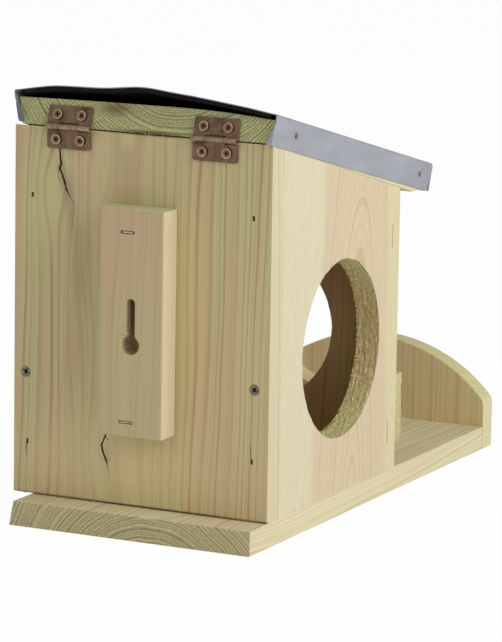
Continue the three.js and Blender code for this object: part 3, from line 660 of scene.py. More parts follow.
BATTEN_WOOD = pine("batten_pine", (0.01, 0, 1), (-30, -140, 130), 3.2, 0.28, seed=31.1, blush_share=0.6,
                   patchy=0.3, end_light=linear(214, 210, 160), end_ring=0.3,
                   early=linear(209, 194, 148), blush=linear(211, 187, 147), dark=linear(180, 146, 114))
# Stains and painted shade on the lid board's rear end, in the same columns
ROOF_STAINS_AND_SHADE = (
    (-20, 266, 11, 4.5, linear(104, 76, 54), 0.8),
    (16, 263, 26, 7, linear(150, 130, 88), 0.3),
    # Painted shade in the seam over the back wall
    (6, WALL_TOP + 1, 24, 0.9, SEAM_SHADE, 0.85),
) + tuple((x, HINGE_AXIS.z / MM + 3, 13, 2.2, HINGE_SHADE, 0.9) for x in HINGE_MIDDLES)
ROOF_WOOD = pine("roof_board_pine", SLOPE, (20, -166, 330), 2.8, 0.4, seed=35.6, end=1.8, end_ring=0.75,
                 early=linear(217, 210, 168), blush=linear(217, 202, 162), end_light=linear(212, 212, 152),
                 end_dark=linear(112, 102, 58), end_rough=1.8, stains_and_shade=ROOF_STAINS_AND_SHADE)


# Boards

def board(node, body, wood, arris=ARRIS, seam=lambda middle: False, keep=lambda middle: False, work=None):
    """A CAD board with its arrises rounded, those of a seam less, and those that keep names left sharp."""
    piece = copy_of(node)

    def rounded(middle, edge):
        return edge.calc_length() > LEAST_ARRIS * MM and not near_fastener(middle) and not keep(middle)

    bevel_edges(piece, lambda middle, edge: rounded(middle, edge) and not seam(middle), arris)
    bevel_edges(piece, lambda middle, edge: rounded(middle, edge) and seam(middle), SEAM_ARRIS, 2)
    if work:
        work(piece)
    smooth(piece)
    materials = wood if isinstance(wood, tuple) else (wood,)
    dress(piece, node, body, "pine", *materials)


def near_bore(axis, centre, radius):
    """A test for points within 1 mm of a bore's wall."""
    across = [i for i in range(3) if i != axis]

    def test(middle):
        return abs(math.hypot(*(middle[i] - centre[i] * MM for i in across)) - radius * MM) < 1 * MM

    return test


SIDE_BORE = (0, (0, SIDE_HOLE_Y, SIDE_HOLE_Z), SIDE_HOLE_RADIUS)
FRONT_BORE = (1, (0, 0, FRONT_HOLE_Z), FRONT_HOLE_RADIUS)


def on_wall_top(middle):
    top = WALL_TOP - (middle.y / MM - BOX_REAR) * math.tan(ROOF_PITCH)
    return middle.z / MM > top - 1.6


def on_floor(middle):
    return middle.z / MM < FLOOR_TOP + 0.5


# Splits in the back wall: x, z and half width of each point along the split
SPLITS = (
    ((-57.9, 238.5, 0.55), (-57.6, 233.0, 0.7), (-56.9, 229.3, 0.75), (-58.1, 226.0, 1.0),
     (-56.6, 223.6, 0.7), (-55.7, 221.2, 0.75), (-54.5, 218.2, 0.95), (-53.6, 215.2, 0.6),
     (-53.0, 212.8, 0.75), (-51.2, 209.8, 0.3), (-47.9, 205.6, 0.16), (-47.4, 201.5, 0.12),
     (-48.4, 196.5, 0.08), (-48.6, 189.5, 0.05)),
    ((-58.2, 226.0, 0.25), (-59.2, 222.5, 0.16), (-58.0, 218.0, 0.12), (-56.4, 214.0, 0.06)),
    ((-23.4, 62.0, 0.4), (-23.8, 59.4, 0.6), (-25.2, 56.0, 0.5), (-26.5, 53.2, 0.7), (-25.2, 48.4, 0.72),
     (-23.0, 43.6, 0.8), (-22.3, 41.6, 0.3), (-21.4, 36.4, 0.1), (-20.6, 31.0, 0.05)),
    ((-23.6, 59.0, 0.3), (-22.4, 57.8, 0.35), (-21.4, 56.4, 0.12)),
    ((-22.9, 43.6, 0.3), (-20.8, 44.0, 0.25), (-19.8, 44.9, 0.1)),
    ((-80.6, 49.6, 0.3), (-80.9, 45.6, 0.32), (-80.3, 39.6, 0.1)),
    ((77.9, 65.0, 0.08), (78.2, 60.0, 0.22), (78.6, 55.6, 0.2)),
)
SPLIT_DEPTH = 1.8


def wedge(rows, axis, level):
    """A closed solid between a strip, given as rows of three points, and a flat level."""
    bpy.ops.mesh.primitive_grid_add(x_subdivisions=2, y_subdivisions=len(rows) - 1, size=1)
    cutter = bpy.context.object
    mesh = edit(cutter)
    vertices = sorted(mesh.verts, key=lambda v: (round(v.co.y, 4), v.co.x))
    for vertex, point in zip(vertices, [point for row in rows for point in row]):
        vertex.co = Vector(point) * MM
    bmesh.update_edit_mesh(cutter.data)
    bpy.ops.mesh.select_all(action="SELECT")
    bpy.ops.mesh.extrude_region_move(TRANSFORM_OT_translate={"value": (0, 0, 0)})
    mesh = bmesh.from_edit_mesh(cutter.data)
    for vertex in mesh.verts:
        if vertex.select:
            vertex.co[axis] = level * MM
    bmesh.update_edit_mesh(cutter.data)
    bpy.ops.mesh.select_all(action="SELECT")
    bpy.ops.mesh.normals_make_consistent(inside=False)
    close_edit()
    return cutter


def split_cutter(points, face):
    """A thin wedge along the points, its tip in the wood and its top just proud of the face."""
    rows = []
    for x, z, half in points:
        tip = SPLIT_DEPTH * min(1, half / 0.4)
        rows.append([(x + side * half, face + (-0.02 if side else tip), z) for side in (-1, 0, 1)])
    return wedge(rows, 1, face - 0.4)


def subtract(piece, cutter):
    apply_modifier(piece, "BOOLEAN", operation="DIFFERENCE", solver="EXACT", object=cutter)
    bpy.data.objects.remove(cutter)


SEAM_STEPS = 110


def seam_cutter():
    """Takes an uneven sliver off the back wall's lower rear edge, where it was sawn."""
    rows = []
    for step in range(SEAM_STEPS + 1):
        x = -BOX_SIDE - 1 + (2 * BOX_SIDE + 2) * step / SEAM_STEPS
        broad = 0.5 * noise.noise(Vector((x * 0.12, 3, 1)))
        fine = 0.7 * noise.noise(Vector((x * 0.45, 1, 2)))
        rough = max(0.15, 0.6 + broad + fine)
        rows.append([(x, BOX_REAR - 0.5 + depth, FLOOR_TOP + height * rough)
                     for depth, height in ((0, 0.85), (2, 0.7), (4.5, 0.1))])
    return wedge(rows, 2, FLOOR_TOP - 1)


def near_split(x, z):
    points = [point for split in SPLITS for point in split]
    return any(math.hypot(x - px, z - pz) < 4.5 and abs(x - px) < 2.2 for px, pz, _ in points)


def split_back_wall(piece):
    for points in SPLITS:
        subtract(piece, split_cutter(points, BOX_REAR))
    subtract(piece, seam_cutter())
    splinter(piece, FOOT_FIBRES + TOP_FIBRES, 2)
    # Faces sunk in the splits and under the wall's foot take the dark brown: painted shade in the cracks and
    # the foot seam.
    for face in piece.data.polygons:
        x, y, z = face.center / MM
        sunk = 0.03 < y - BOX_REAR < SPLIT_DEPTH + 0.5
        under = z < FLOOR_TOP + 1 and y < BOX_REAR + 5 and face.normal.z < -0.2
        if sunk and near_split(x, z) or under:
            face.material_index = 1


# Torn fibres that stand out of a sawn edge: foot, tip and width of each
FOOT_FIBRES = tuple(
    ((x, BOX_REAR - 0.05, FLOOR_TOP + rise), (x + lean, BOX_REAR - 0.9, FLOOR_TOP + rise - fall), 0.45)
    for x, rise, lean, fall in (
        (58.5, 4.6, 0.4, 4.0), (60.2, 6.2, -0.5, 5.2), (61.8, 5.0, 0.5, 3.6), (63.4, 6.6, 0.1, 5.8),
        (65.2, 5.2, -0.4, 4.8), (66.8, 3.8, 0.5, 3.2), (69.6, 4.4, 0.2, 4.0), (30.0, 2.6, 0.5, 2.2),
        (-31.0, 2.4, -0.5, 2.0), (-2.0, 2.2, 0.4, 1.9),
    )
)
TOP_FIBRES = tuple(
    ((x, BOX_REAR - 0.05, WALL_TOP - drop), (x + lean, BOX_REAR - 0.8, WALL_TOP - drop + rise), 0.5)
    for x, drop, lean, rise in (
        (3.2, 2.0, -1.2, 2.9), (4.6, 1.8, 0.6, 3.0), (6.0, 1.6, 1.6, 2.2), (14.2, 1.2, 0.8, 1.6),
        (-9.0, 1.0, 0.9, 1.4),
    )
)
SIDE_FIBRES = tuple(
    ((BOX_SIDE + 0.05, y, FLOOR_TOP + rise), (BOX_SIDE + 0.7, y + lean, FLOOR_TOP + 0.2), 0.5)
    for y, rise, lean in (
        (-115.4, 2.6, 0.5), (-117.2, 1.9, -0.4), (-126.4, 2.4, 0.4), (-128.6, 1.8, -0.5), (-136.0, 1.5, 0.3),
    )
)
BATTEN_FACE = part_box("hanging_batten")[0].y / MM
KEYHOLE_FIBRES = tuple(
    ((x, BATTEN_FACE + 0.1, z), (tip_x, BATTEN_FACE - out, tip_z), width)
    for x, z, tip_x, out, tip_z, width in (
        (-2.2, 130.8, 2.4, 0.7, 129.6, 1.4), (-2.4, 132.4, 1.6, 0.5, 133.4, 1.2),
        (-4.2, 127.4, -0.6, 0.8, 127.9, 1.5), (-3.2, 129.2, 1.4, 0.9, 131.6, 1.3),
        (-4.9, 125.4, -2.4, 0.6, 124.4, 1.4), (-4.9, 123.0, -3.0, 0.6, 121.4, 1.2),
    )
)


def splinter(piece, fibres, index):
    """Adds thin tapered fibres to a board, each a closed spike of the board's material of that index."""
    spikes = []
    whole = len(piece.data.polygons)
    for foot, tip, width in fibres:
        bpy.ops.mesh.primitive_cone_add(vertices=5, radius1=width / 2 * MM, radius2=0.06 * MM, depth=1 * MM)
        spike = bpy.context.object
        foot, tip = Vector(foot) * MM, Vector(tip) * MM
        turn = (tip - foot).to_track_quat("Z", "X").to_matrix().to_4x4()
        stretch = Matrix.Diagonal((1, 1, (tip - foot).length / MM, 1))
        spike.data.transform(Matrix.Translation((foot + tip) / 2) @ turn @ stretch)
        spikes.append(spike)
    pick(piece)
    for spike in spikes:
        spike.select_set(True)
    bpy.ops.object.join()
    for polygon in piece.data.polygons[whole:]:
        polygon.material_index = index


def keyhole(middle):
    low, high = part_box("hanging_batten")
    beside, past = 8 * MM, 30 * MM
    return low.x + beside < middle.x < high.x - beside and low.z + past < middle.z < high.z - past


SEAT_RAISE = 0.24


def raise_top(piece):
    """A side wall's sawn top stands a hair high, so that the lid closes on it without a gap."""
    for vertex in piece.data.vertices:
        if on_wall_top(vertex.co):
            vertex.co.z += SEAT_RAISE * MM


def finish_side(piece, torn):
    """The hole is torn most on the inside, and the right wall's foot is splintered too."""
    raise_top(piece)
    if torn == 0:
        splinter(piece, SIDE_FIBRES, 2)
    roughen_bore(piece, *SIDE_BORE, torn)


def crush_staple_grooves(piece):
    """The staples crushed the wood round them into grooves with darker walls; the keyhole gets torn fibres
    and painted shade inside.
    """
    face = min(v.co.y for v in piece.data.vertices)

    def groove(middle, edge):
        return near_fastener(middle, 0.6 * MM) and middle.y < face + 0.1 * MM

    bevel_edges(piece, groove, 0.15, 1)
    splinter(piece, KEYHOLE_FIBRES, 3)
    for polygon in piece.data.polygons:
        if near_fastener(polygon.center, 0.9 * MM) and abs(polygon.normal.y) < 0.95:
            polygon.material_index = 1
        # The keyhole's inside takes the darker pine copy: painted shade.
        elif keyhole(polygon.center) and polygon.center.y > face + 0.6 * MM and polygon.area > 0.05 * MM ** 2:
            polygon.material_index = 2


# The front wall's face inside the box takes the darker copy of its pine: painted shade.
def darken_inner_face(piece):
    for polygon in piece.data.polygons:
        if polygon.normal.y < -0.9:
            polygon.material_index = 2


def chip_cutter(place, turn, size):
    """A small blunt gouge for a chip in an arris."""
    bpy.ops.mesh.primitive_ico_sphere_add(subdivisions=2, radius=1)
    cutter = bpy.context.object
    mesh = edit(cutter)
    for vertex in mesh.verts:
        vertex.co *= 1 + 0.25 * noise.noise(vertex.co * 1.7)
    bmesh.update_edit_mesh(cutter.data)
    close_edit()
    stretch = Matrix.Diagonal((*(v * MM for v in size), 1))
    cutter.data.transform(Matrix.Translation(Vector(place) * MM) @ Matrix.Rotation(turn, 4, "Y") @ stretch)
    return cutter


def chip_arch(piece):
    low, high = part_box("end_board")
    subtract(piece, chip_cutter((48, low.y / MM - 0.5, 65.5), 0.55, (3.6, 1.5, 1.6)))


def make_boards():
    def base_seam(middle):
        return middle.x / MM > BOX_SIDE - 1 and middle.z / MM > FLOOR_TOP - 1

    def wall_seam(middle):
        return middle.y / MM < BOX_REAR + WALL + 1

    def end_seam(middle):
        return middle.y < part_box("end_board")[0].y + 1 * MM and middle.z / MM < FLOOR_TOP + 1

    def lid_seam(middle):
        return in_lid(middle).z / MM < LID_BOTTOM + 0.5

    def side_keep(middle):
        return near_bore(*SIDE_BORE)(middle) or on_floor(middle) or on_wall_top(middle)

    def front_keep(middle):
        return near_bore(*FRONT_BORE)(middle) or on_floor(middle) or on_wall_top(middle)

    def back_keep(middle):
        return on_floor(middle) or on_wall_top(middle)

    def right_edge(middle):
        return middle.x / MM > BOX_SIDE - 1

    def finish_front(piece):
        roughen_bore(piece, *FRONT_BORE, tufts=0.1)
        darken_inner_face(piece)

    board("base_board", "box", BASE_WOOD, seam=base_seam)
    board("back_wall", "box", (BACK_WOOD, SPLIT_PAINTED_SHADE, FIBRE), seam=right_edge, keep=back_keep,
          work=split_back_wall)
    board("right_side_wall", "box", (RIGHT_WOOD, BORE_WOOD, FIBRE), SEAM_ARRIS, wall_seam, side_keep,
          lambda piece: finish_side(piece, 0))
    board("left_side_wall", "box", (LEFT_WOOD, BORE_WOOD), SEAM_ARRIS, wall_seam, side_keep,
          lambda piece: finish_side(piece, 1))
    board("front_wall", "box", (FRONT_WOOD, FRONT_WOOD, PAINTED_SHADE_PINE), SEAM_ARRIS, keep=front_keep,
          work=finish_front)
    board("end_board", "box", END_WOOD, seam=end_seam, work=chip_arch)
    board("jar_rest", "box", REST_WOOD, SEAM_ARRIS, work=lambda piece: roughen_end(piece, 0, 1, 0.9, 16))
    board("hanging_batten", "box", (BATTEN_WOOD, GROOVE_DARK, PAINTED_SHADE_PINE, FIBRE), BATTEN_ARRIS, keep=keyhole,
          work=crush_staple_grooves)
    board("roof_board", "lid", ROOF_WOOD, seam=lid_seam)


# Lid cover

def in_lid(point):
    return LID_UNTURN @ point


def smooth_through(points):
    """A smooth curve through points in order of rising x that never overshoots them."""
    count = len(points)
    steps = [points[i + 1][0] - points[i][0] for i in range(count - 1)]
    rates = [(points[i + 1][1] - points[i][1]) / steps[i] for i in range(count - 1)]
    slopes = [rates[0]]
    for i in range(1, count - 1):
        same = rates[i - 1] * rates[i] > 0
        slopes.append(2 * rates[i - 1] * rates[i] / (rates[i - 1] + rates[i]) if same else 0)
    slopes.append(rates[-1])

    def height(x):
        i = max(j for j in range(count - 1) if points[j][0] <= x or j == 0)
        share = (x - points[i][0]) / steps[i]
        rest = 1 - share
        return (
            points[i][1] * (1 + 2 * share) * rest ** 2
            + slopes[i] * steps[i] * share * rest ** 2
            + points[i + 1][1] * share ** 2 * (3 - 2 * share)
            - slopes[i + 1] * steps[i] * share ** 2 * rest
        )

    return height


def along_cover(pair, t):
    return pair[0] + (pair[1] - pair[0]) * t


def flange_x(side, z):
    """How far out a side flange stands at a height: the left one leans in and the right one flares."""
    if side < 0:
        return -COVER_SIDE + FLANGE_LEAN * (LID_TOP - z)
    return COVER_SIDE + RIGHT_FLARE * (z - LID_BOTTOM - 4)


FLANGE_STEPS = 10
BEND_STEPS = 6
CROWN_STEPS = 64
COVER_STATIONS = 96


def cover_profile(t):
    """The sheet's outside at a share t of its length, from the right hem to the left one."""
    ridge = along_cover(RIDGE_RISE, t)
    eaves = {side: along_cover(EAVE_RISE[side], t) for side in (1, -1)}
    bends = {side: LID_TOP + eaves[side] - COVER_BEND for side in (1, -1)}
    ends = {side: flange_x(side, bends[side]) - side * COVER_BEND for side in (1, -1)}
    through = [(RIDGE_X, LID_TOP + ridge)]
    for side in (1, -1):
        through.append((ends[side], LID_TOP + eaves[side]))
        for across, rise in CROWN_SHARES[side]:
            x = side * COVER_SIDE + (RIDGE_X - side * COVER_SIDE) * across
            through.append((x, LID_TOP + eaves[side] + (ridge - eaves[side]) * rise))
    crown = smooth_through(sorted(through))

    def flange(side):
        hem = LID_BOTTOM + along_cover(HEM_RISE[side], t)
        heights = [hem + (bends[side] - hem) * i / FLANGE_STEPS for i in range(FLANGE_STEPS + 1)]
        bend = [(ends[side] + side * COVER_BEND * math.cos(a), bends[side] + COVER_BEND * math.sin(a))
                for a in (math.pi / 2 * i / BEND_STEPS for i in range(1, BEND_STEPS))]
        return [(flange_x(side, z), z) for z in heights] + bend

    xs = [ends[1] + (ends[-1] - ends[1]) * i / CROWN_STEPS for i in range(CROWN_STEPS + 1)]
    return flange(1) + [(x, crown(x)) for x in xs] + flange(-1)[::-1]


def cover_dents(point, nails):
    """How far the thin sheet wanders from true at a point, in millimetres."""
    wave = 0.1 * noise.noise(point * 0.03) + 0.05 * noise.noise(point * 0.11)
    return wave - sum(0.22 * math.exp(-((point - nail).length / 4.5) ** 2) for nail in nails)


def place_cover(nails):
    """The open sheet without its folds, wandering a little and drawn in round each nail."""
    count = len(cover_profile(0))
    bpy.ops.mesh.primitive_grid_add(x_subdivisions=count - 1, y_subdivisions=COVER_STATIONS, size=2)
    sheet = bpy.context.object
    sheet.name = "roof_sheet_finished"
    mesh = edit(sheet)
    rows = sorted(mesh.verts, key=lambda v: (round(v.co.y, 5), v.co.x))
    for station in range(COVER_STATIONS + 1):
        t = station / COVER_STATIONS
        y = COVER_REAR + (COVER_FRONT - COVER_REAR) * t
        for index, (x, z) in enumerate(cover_profile(t)):
            point = Vector((x, y, z))
            dent = cover_dents(point, nails)
            edge = 0.18 * noise.noise(Vector((y * 0.05, index, 4))) if index in (0, count - 1) else 0
            lies_flat = FLANGE_STEPS + BEND_STEPS <= index < count - FLANGE_STEPS - BEND_STEPS
            point.y += FRONT_LEAN * t ** 8 * max(0, z - LID_BOTTOM)
            point.z += dent if lies_flat else edge
            point.x += 0 if lies_flat else math.copysign(dent, x)
            rows[station * count + index].co = point * MM
    bmesh.update_edit_mesh(sheet.data)
    bpy.ops.mesh.select_all(action="SELECT")
    bpy.ops.mesh.normals_make_consistent(inside=False)
    mesh = bmesh.from_edit_mesh(sheet.data)
    top = max(mesh.faces, key=lambda face: face.calc_center_median().z)
    if top.normal.z < 0:
        bpy.ops.mesh.flip_normals()
    return sheet


def fold_edge(sheet, wanted, move, radius):
    """Draws wanted border edges out, moves the new points and rounds the fold."""
    mesh = bmesh.from_edit_mesh(sheet.data)
    bpy.ops.mesh.select_all(action="DESELECT")
    bpy.ops.mesh.select_mode(type="EDGE")
    old = {edge for edge in mesh.edges if edge.is_boundary and all(wanted(v.co / MM) for v in edge.verts)}
    places = {tuple(round(c, 7) for c in v.co) for edge in old for v in edge.verts}
    for edge in old:
        edge.select_set(True)
    bmesh.update_edit_mesh(sheet.data)
    bpy.ops.mesh.extrude_region_move(TRANSFORM_OT_translate={"value": (0, 0, 0)})
    mesh = bmesh.from_edit_mesh(sheet.data)
    for vertex in [v for v in mesh.verts if v.select]:
        vertex.co = move(vertex.co / MM) * MM
    bpy.ops.mesh.select_all(action="DESELECT")
    for edge in mesh.edges:
        known = all(tuple(round(c, 7) for c in v.co) in places for v in edge.verts)
        if known and len(edge.link_faces) == 2 and edge.calc_face_angle() > SHARP:
            edge.select_set(True)
    bmesh.update_edit_mesh(sheet.data)
    bpy.ops.mesh.bevel(offset=radius * MM, segments=3, profile=0.5)


def make_cover():
    sides = {"left": -1, "right": 1}
    nails = [in_lid(head_place(name, nail_out(side))) / MM
             for side in sides for name in numbered(f"sheet_nail_{side}", 2)]
    sheet = place_cover(nails)

    def tab_edge(p):
        top = LID_TOP - (RIGHT_TAB_DROP if p.x > 0 else LEFT_TAB_DROP)
        return p.y < COVER_REAR + 0.01 and abs(p.x) > COVER_SIDE - 6 and p.z < top

    def tab_depth(p):
        """0 at a tab's top and 1 where it has its full width."""
        if p.x > 0:
            top = LID_TOP - RIGHT_TAB_DROP
            return (top - p.z) / (top - LID_BOTTOM - HEM_RISE[1][0])
        return 1.6 * (LID_TOP - LEFT_TAB_DROP - p.z) / (LID_TOP - LID_BOTTOM - HEM_RISE[-1][0])

    def tab_place(p):
        width = TAB_CURL + (TAB_WIDTH - TAB_CURL) * min(1, max(0, tab_depth(p)))
        return Vector((p.x - math.copysign(width, p.x), p.y, p.z))

    def front_edge(p):
        return p.y > COVER_FRONT + FRONT_LEAN * 15 and p.z > LID_TOP + FRONT_EDGE_RISE

    def front_place(p):
        share = (p.x + COVER_SIDE) / 2 / COVER_SIDE
        hem = LID_BOTTOM + HEM_RISE[-1][1] * (1 - share) + HEM_RISE[1][1] * share
        return Vector((p.x, COVER_FRONT + 0.4, hem))

    fold_edge(sheet, tab_edge, tab_place, 0.75)
    fold_edge(sheet, front_edge, front_place, 1.2)
    close_edit()
    for _ in range(2):
        sheet.data.materials.append(None)
    apply_modifier(sheet, "SOLIDIFY", thickness=COVER_THICKNESS * MM, offset=-1, use_even_offset=True,
                   material_offset=1, material_offset_rim=2)
    sheet.data.materials.clear()
    # The rims take the painted highlight, except the crown's rear rim and the left rear rim near the top,
    # which take the black.
    for face in sheet.data.polygons:
        x, y, z = face.center / MM
        rear_rim = face.material_index == 2 and y < COVER_REAR + 0.4
        if rear_rim and (z > LID_TOP + 1.2 and abs(x) < COVER_SIDE - 1 or x < 0 and z > LID_TOP - 1):
            face.material_index = 1
    sheet.data.transform(LID_TURN)
    smooth(sheet, math.radians(40))
    dress(sheet, "roof_sheet", "lid", "zinc_sheet", ZINC, BLACK, ZINC_RIM_PAINTED_HIGHLIGHT)
    felt = copy_of("roof_underlay")
    smooth(felt, math.radians(30))
    dress(felt, "roof_underlay", "lid", "roofing_felt", BLACK)


# Hinges

BARREL_REACH = 2.1
LEAF_ARRIS = 0.15
PIN_ARRIS = 0.2


def plate_edge(middle, edge):
    return edge.calc_length() > 2 * MM and not near_fastener(middle)


def make_hinges():
    for side in ("left", "right"):
        for leaf, body in (("wall", "box"), ("roof", "lid")):
            node = f"hinge_{side}_{leaf}_leaf"
            plate = copy_of(node)
            bevel_edges(plate, plate_edge, LEAF_ARRIS, 2)
            # Faces round the pin take the lighter copy: painted highlight on the barrel.
            for face in plate.data.polygons:
                away = face.center - HINGE_AXIS
                if math.hypot(away.y, away.z) < BARREL_REACH * MM:
                    face.material_index = 1
            smooth(plate)
            dress(plate, node, body, "coppered_steel", HINGE, BARREL_PAINTED_HIGHLIGHT)
        pin = copy_of(f"hinge_{side}_pin")
        apply_modifier(pin, "BEVEL", width=PIN_ARRIS * MM, segments=2, limit_method="ANGLE",
                       angle_limit=SMOOTH)
        smooth(pin)
        dress(pin, f"hinge_{side}_pin", "box", "coppered_steel", HINGE)


# Fasteners: each kind is modelled once along Z; a raised head stands on zero and a sunk one ends there

# Head radius, shank radius, whole length and length of the point
HINGE_SCREW = (3.3, 1.4, 14, 3)
TIMBER_SCREW = (3.35, 1.75, 40, 5)
BOARD_NAIL = (2.5, 1.1, 40, 3)
COVER_NAIL = (2.0, 0.8, 20, 2)
HINGE_SCREW_RISE = 1.1
COVER_NAIL_RISE = 0.8


def add_cylinder(radius, bottom, top, vertices=32):
    bpy.ops.mesh.primitive_cylinder_add(vertices=vertices, radius=radius * MM, depth=(top - bottom) * MM,
                                        location=(0, 0, (top + bottom) / 2 * MM))
    piece = bpy.context.object
    pick(piece)
    bpy.ops.object.transform_apply(location=True, rotation=True, scale=True)
    return piece


def select_end(piece, furthest):
    """Opens a piece with its top face selected (furthest is max) or its bottom one (min)."""
    mesh = edit(piece)
    end = furthest(mesh.faces, key=lambda face: face.calc_center_median().z)
    end.select_set(True)
    bmesh.update_edit_mesh(piece.data)


def draw_out(rise, scale):
    bpy.ops.mesh.extrude_region_move(TRANSFORM_OT_translate={"value": (0, 0, rise * MM)})
    bpy.ops.transform.resize(value=(scale, scale, 1))


def add_shank(piece, neck, head, shank, length, tip):
    """Draws the shank and its point out of the underside of a head."""
    select_end(piece, min)
    draw_out(-neck, shank / head)
    draw_out(-(length - neck - tip), 1)
    draw_out(-tip, 0.12)
    close_edit()


def cross_cutter(span, width, depth, top, cone):
    """A cross with a tapered middle, for a screw's recess."""
    arms = []
    for long, wide in ((span, width), (width, span)):
        bpy.ops.mesh.primitive_cube_add(size=1, location=(0, 0, top * MM))
        arm = bpy.context.object
        arm.scale = (long * MM, wide * MM, 2 * depth * MM)
        pick(arm)
        bpy.ops.object.transform_apply(location=True, rotation=True, scale=True)
        arms.append(arm)
    bpy.ops.mesh.primitive_cone_add(vertices=16, radius1=0.3 * cone * MM, radius2=cone * MM, depth=depth * MM,
                                    location=(0, 0, (top - depth / 2 + 0.05) * MM))
    middle = bpy.context.object
    pick(middle)
    bpy.ops.object.transform_apply(location=True, rotation=True, scale=True)
    whole = arms[0]
    for other in (arms[1], middle):
        apply_modifier(whole, "BOOLEAN", operation="UNION", solver="EXACT", object=other)
        bpy.data.objects.remove(other)
    return whole


def mark_recess(piece, radius, below, index=1):
    """Another material lines the recess."""
    for face in piece.data.polygons:
        middle = face.center
        inside = math.hypot(middle.x, middle.y) < radius * MM and (below - 2) * MM < middle.z < below * MM
        if inside and face.normal.z > -0.5:
            face.material_index = index


def hinge_screw_model():
    """A pan head with a raised rim round a dished middle."""
    screw = add_cylinder(HINGE_SCREW[0], 0, 0.9, 40)
    select_end(screw, max)
    for rise, scale in ((0.3, 0.97), (0.15, 0.9), (0, 0.84), (-0.25, 0.9), (-0.05, 0.9)):
        draw_out(rise, scale)
    close_edit()
    add_shank(screw, 0.35, *HINGE_SCREW)
    subtract(screw, cross_cutter(2.7, 0.75, 1.0, 1.06, 0.95))
    # The dish takes its own darker metal; the recess and the head's side take painted shade.
    mark_recess(screw, 2.3, 1.33, 1)
    mark_recess(screw, 1.5, 1.02, 2)
    for face in screw.data.polygons:
        if face.center.z > 0 and abs(face.normal.z) < 0.5 and math.hypot(*face.center.xy) > 2.9 * MM:
            face.material_index = 3
    return screw


def sink_middle(piece, inset, depth):
    """Lowers the middle of a flat head inside a rim."""
    select_end(piece, max)
    bpy.ops.mesh.inset(thickness=inset * MM)
    bpy.ops.transform.translate(value=(0, 0, -depth * MM))
    close_edit()


def timber_screw_model():
    screw = add_cylinder(TIMBER_SCREW[0], -0.35, 0, 40)
    sink_middle(screw, 0.35, 0.12)
    add_shank(screw, 2.3, *TIMBER_SCREW)
    subtract(screw, cross_cutter(3.9, 0.95, 1.3, -0.1, 1.25))
    # The recess takes painted shade.
    mark_recess(screw, 2.05, -0.14)
    return screw


def cover_nail_model():
    """A low round head with a thin edge."""
    edge = COVER_NAIL_RISE / 2
    nail = add_cylinder(COVER_NAIL[0], 0, edge, 28)
    select_end(nail, max)
    draw_out((COVER_NAIL_RISE - edge) * 0.6, 0.86)
    draw_out((COVER_NAIL_RISE - edge) * 0.4, 0.7)
    close_edit()
    add_shank(nail, 0.3, *COVER_NAIL)
    return nail


def board_nail_model():
    nail = add_cylinder(BOARD_NAIL[0], -0.3, 0, 24)
    sink_middle(nail, BOARD_NAIL[0] / 4, 0.08)
    add_shank(nail, 1.0, *BOARD_NAIL)
    return nail


def nail_out(side):
    """The way that a cover nail on this side points out of the lid."""
    if side == "right":
        return Vector((1, 0, 0))
    lean = math.atan(FLANGE_LEAN)
    return LID_TURN.to_3x3() @ Vector((-math.cos(lean), 0, -math.sin(lean)))


def head_place(node, out):
    """Where a fastener's head stands: the middle of its outermost points along out."""
    points = [v.co for v in NODES[node].data.vertices]
    far = max(p.dot(out) for p in points)
    outer = [p for p in points if p.dot(out) > far - 0.02 * MM]
    low = Vector(min(p[i] for p in outer) for i in range(3))
    high = Vector(max(p[i] for p in outer) for i in range(3))
    return (low + high) / 2


def set_fasteners(model, names, out, along, rise, body, slot, *materials):
    """A copy of the model at each named node, its Z axis turned to out and its head standing out by rise."""
    out = Vector(out).normalized()
    along = Vector(along).normalized()
    turn = Matrix((along, out.cross(along), out)).transposed().to_4x4()
    for name in names:
        head = head_place(name, out)
        piece = copy_piece(model, f"{name}_finished")
        spin = Matrix.Rotation(spin_of(name), 4, "Z")
        piece.data.transform(Matrix.Translation(head - out * rise * MM) @ turn @ spin)
        smooth(piece, math.radians(40), weighted=False)
        dress(piece, name, body, slot, *materials)


def spin_of(name):
    """Each screw was driven to its own angle."""
    return math.radians(sum(ord(letter) * (place + 3) for place, letter in enumerate(name)) * 37 % 90)


def numbered(stem, count):
    return [f"{stem}_{index + 1}" for index in range(count)]


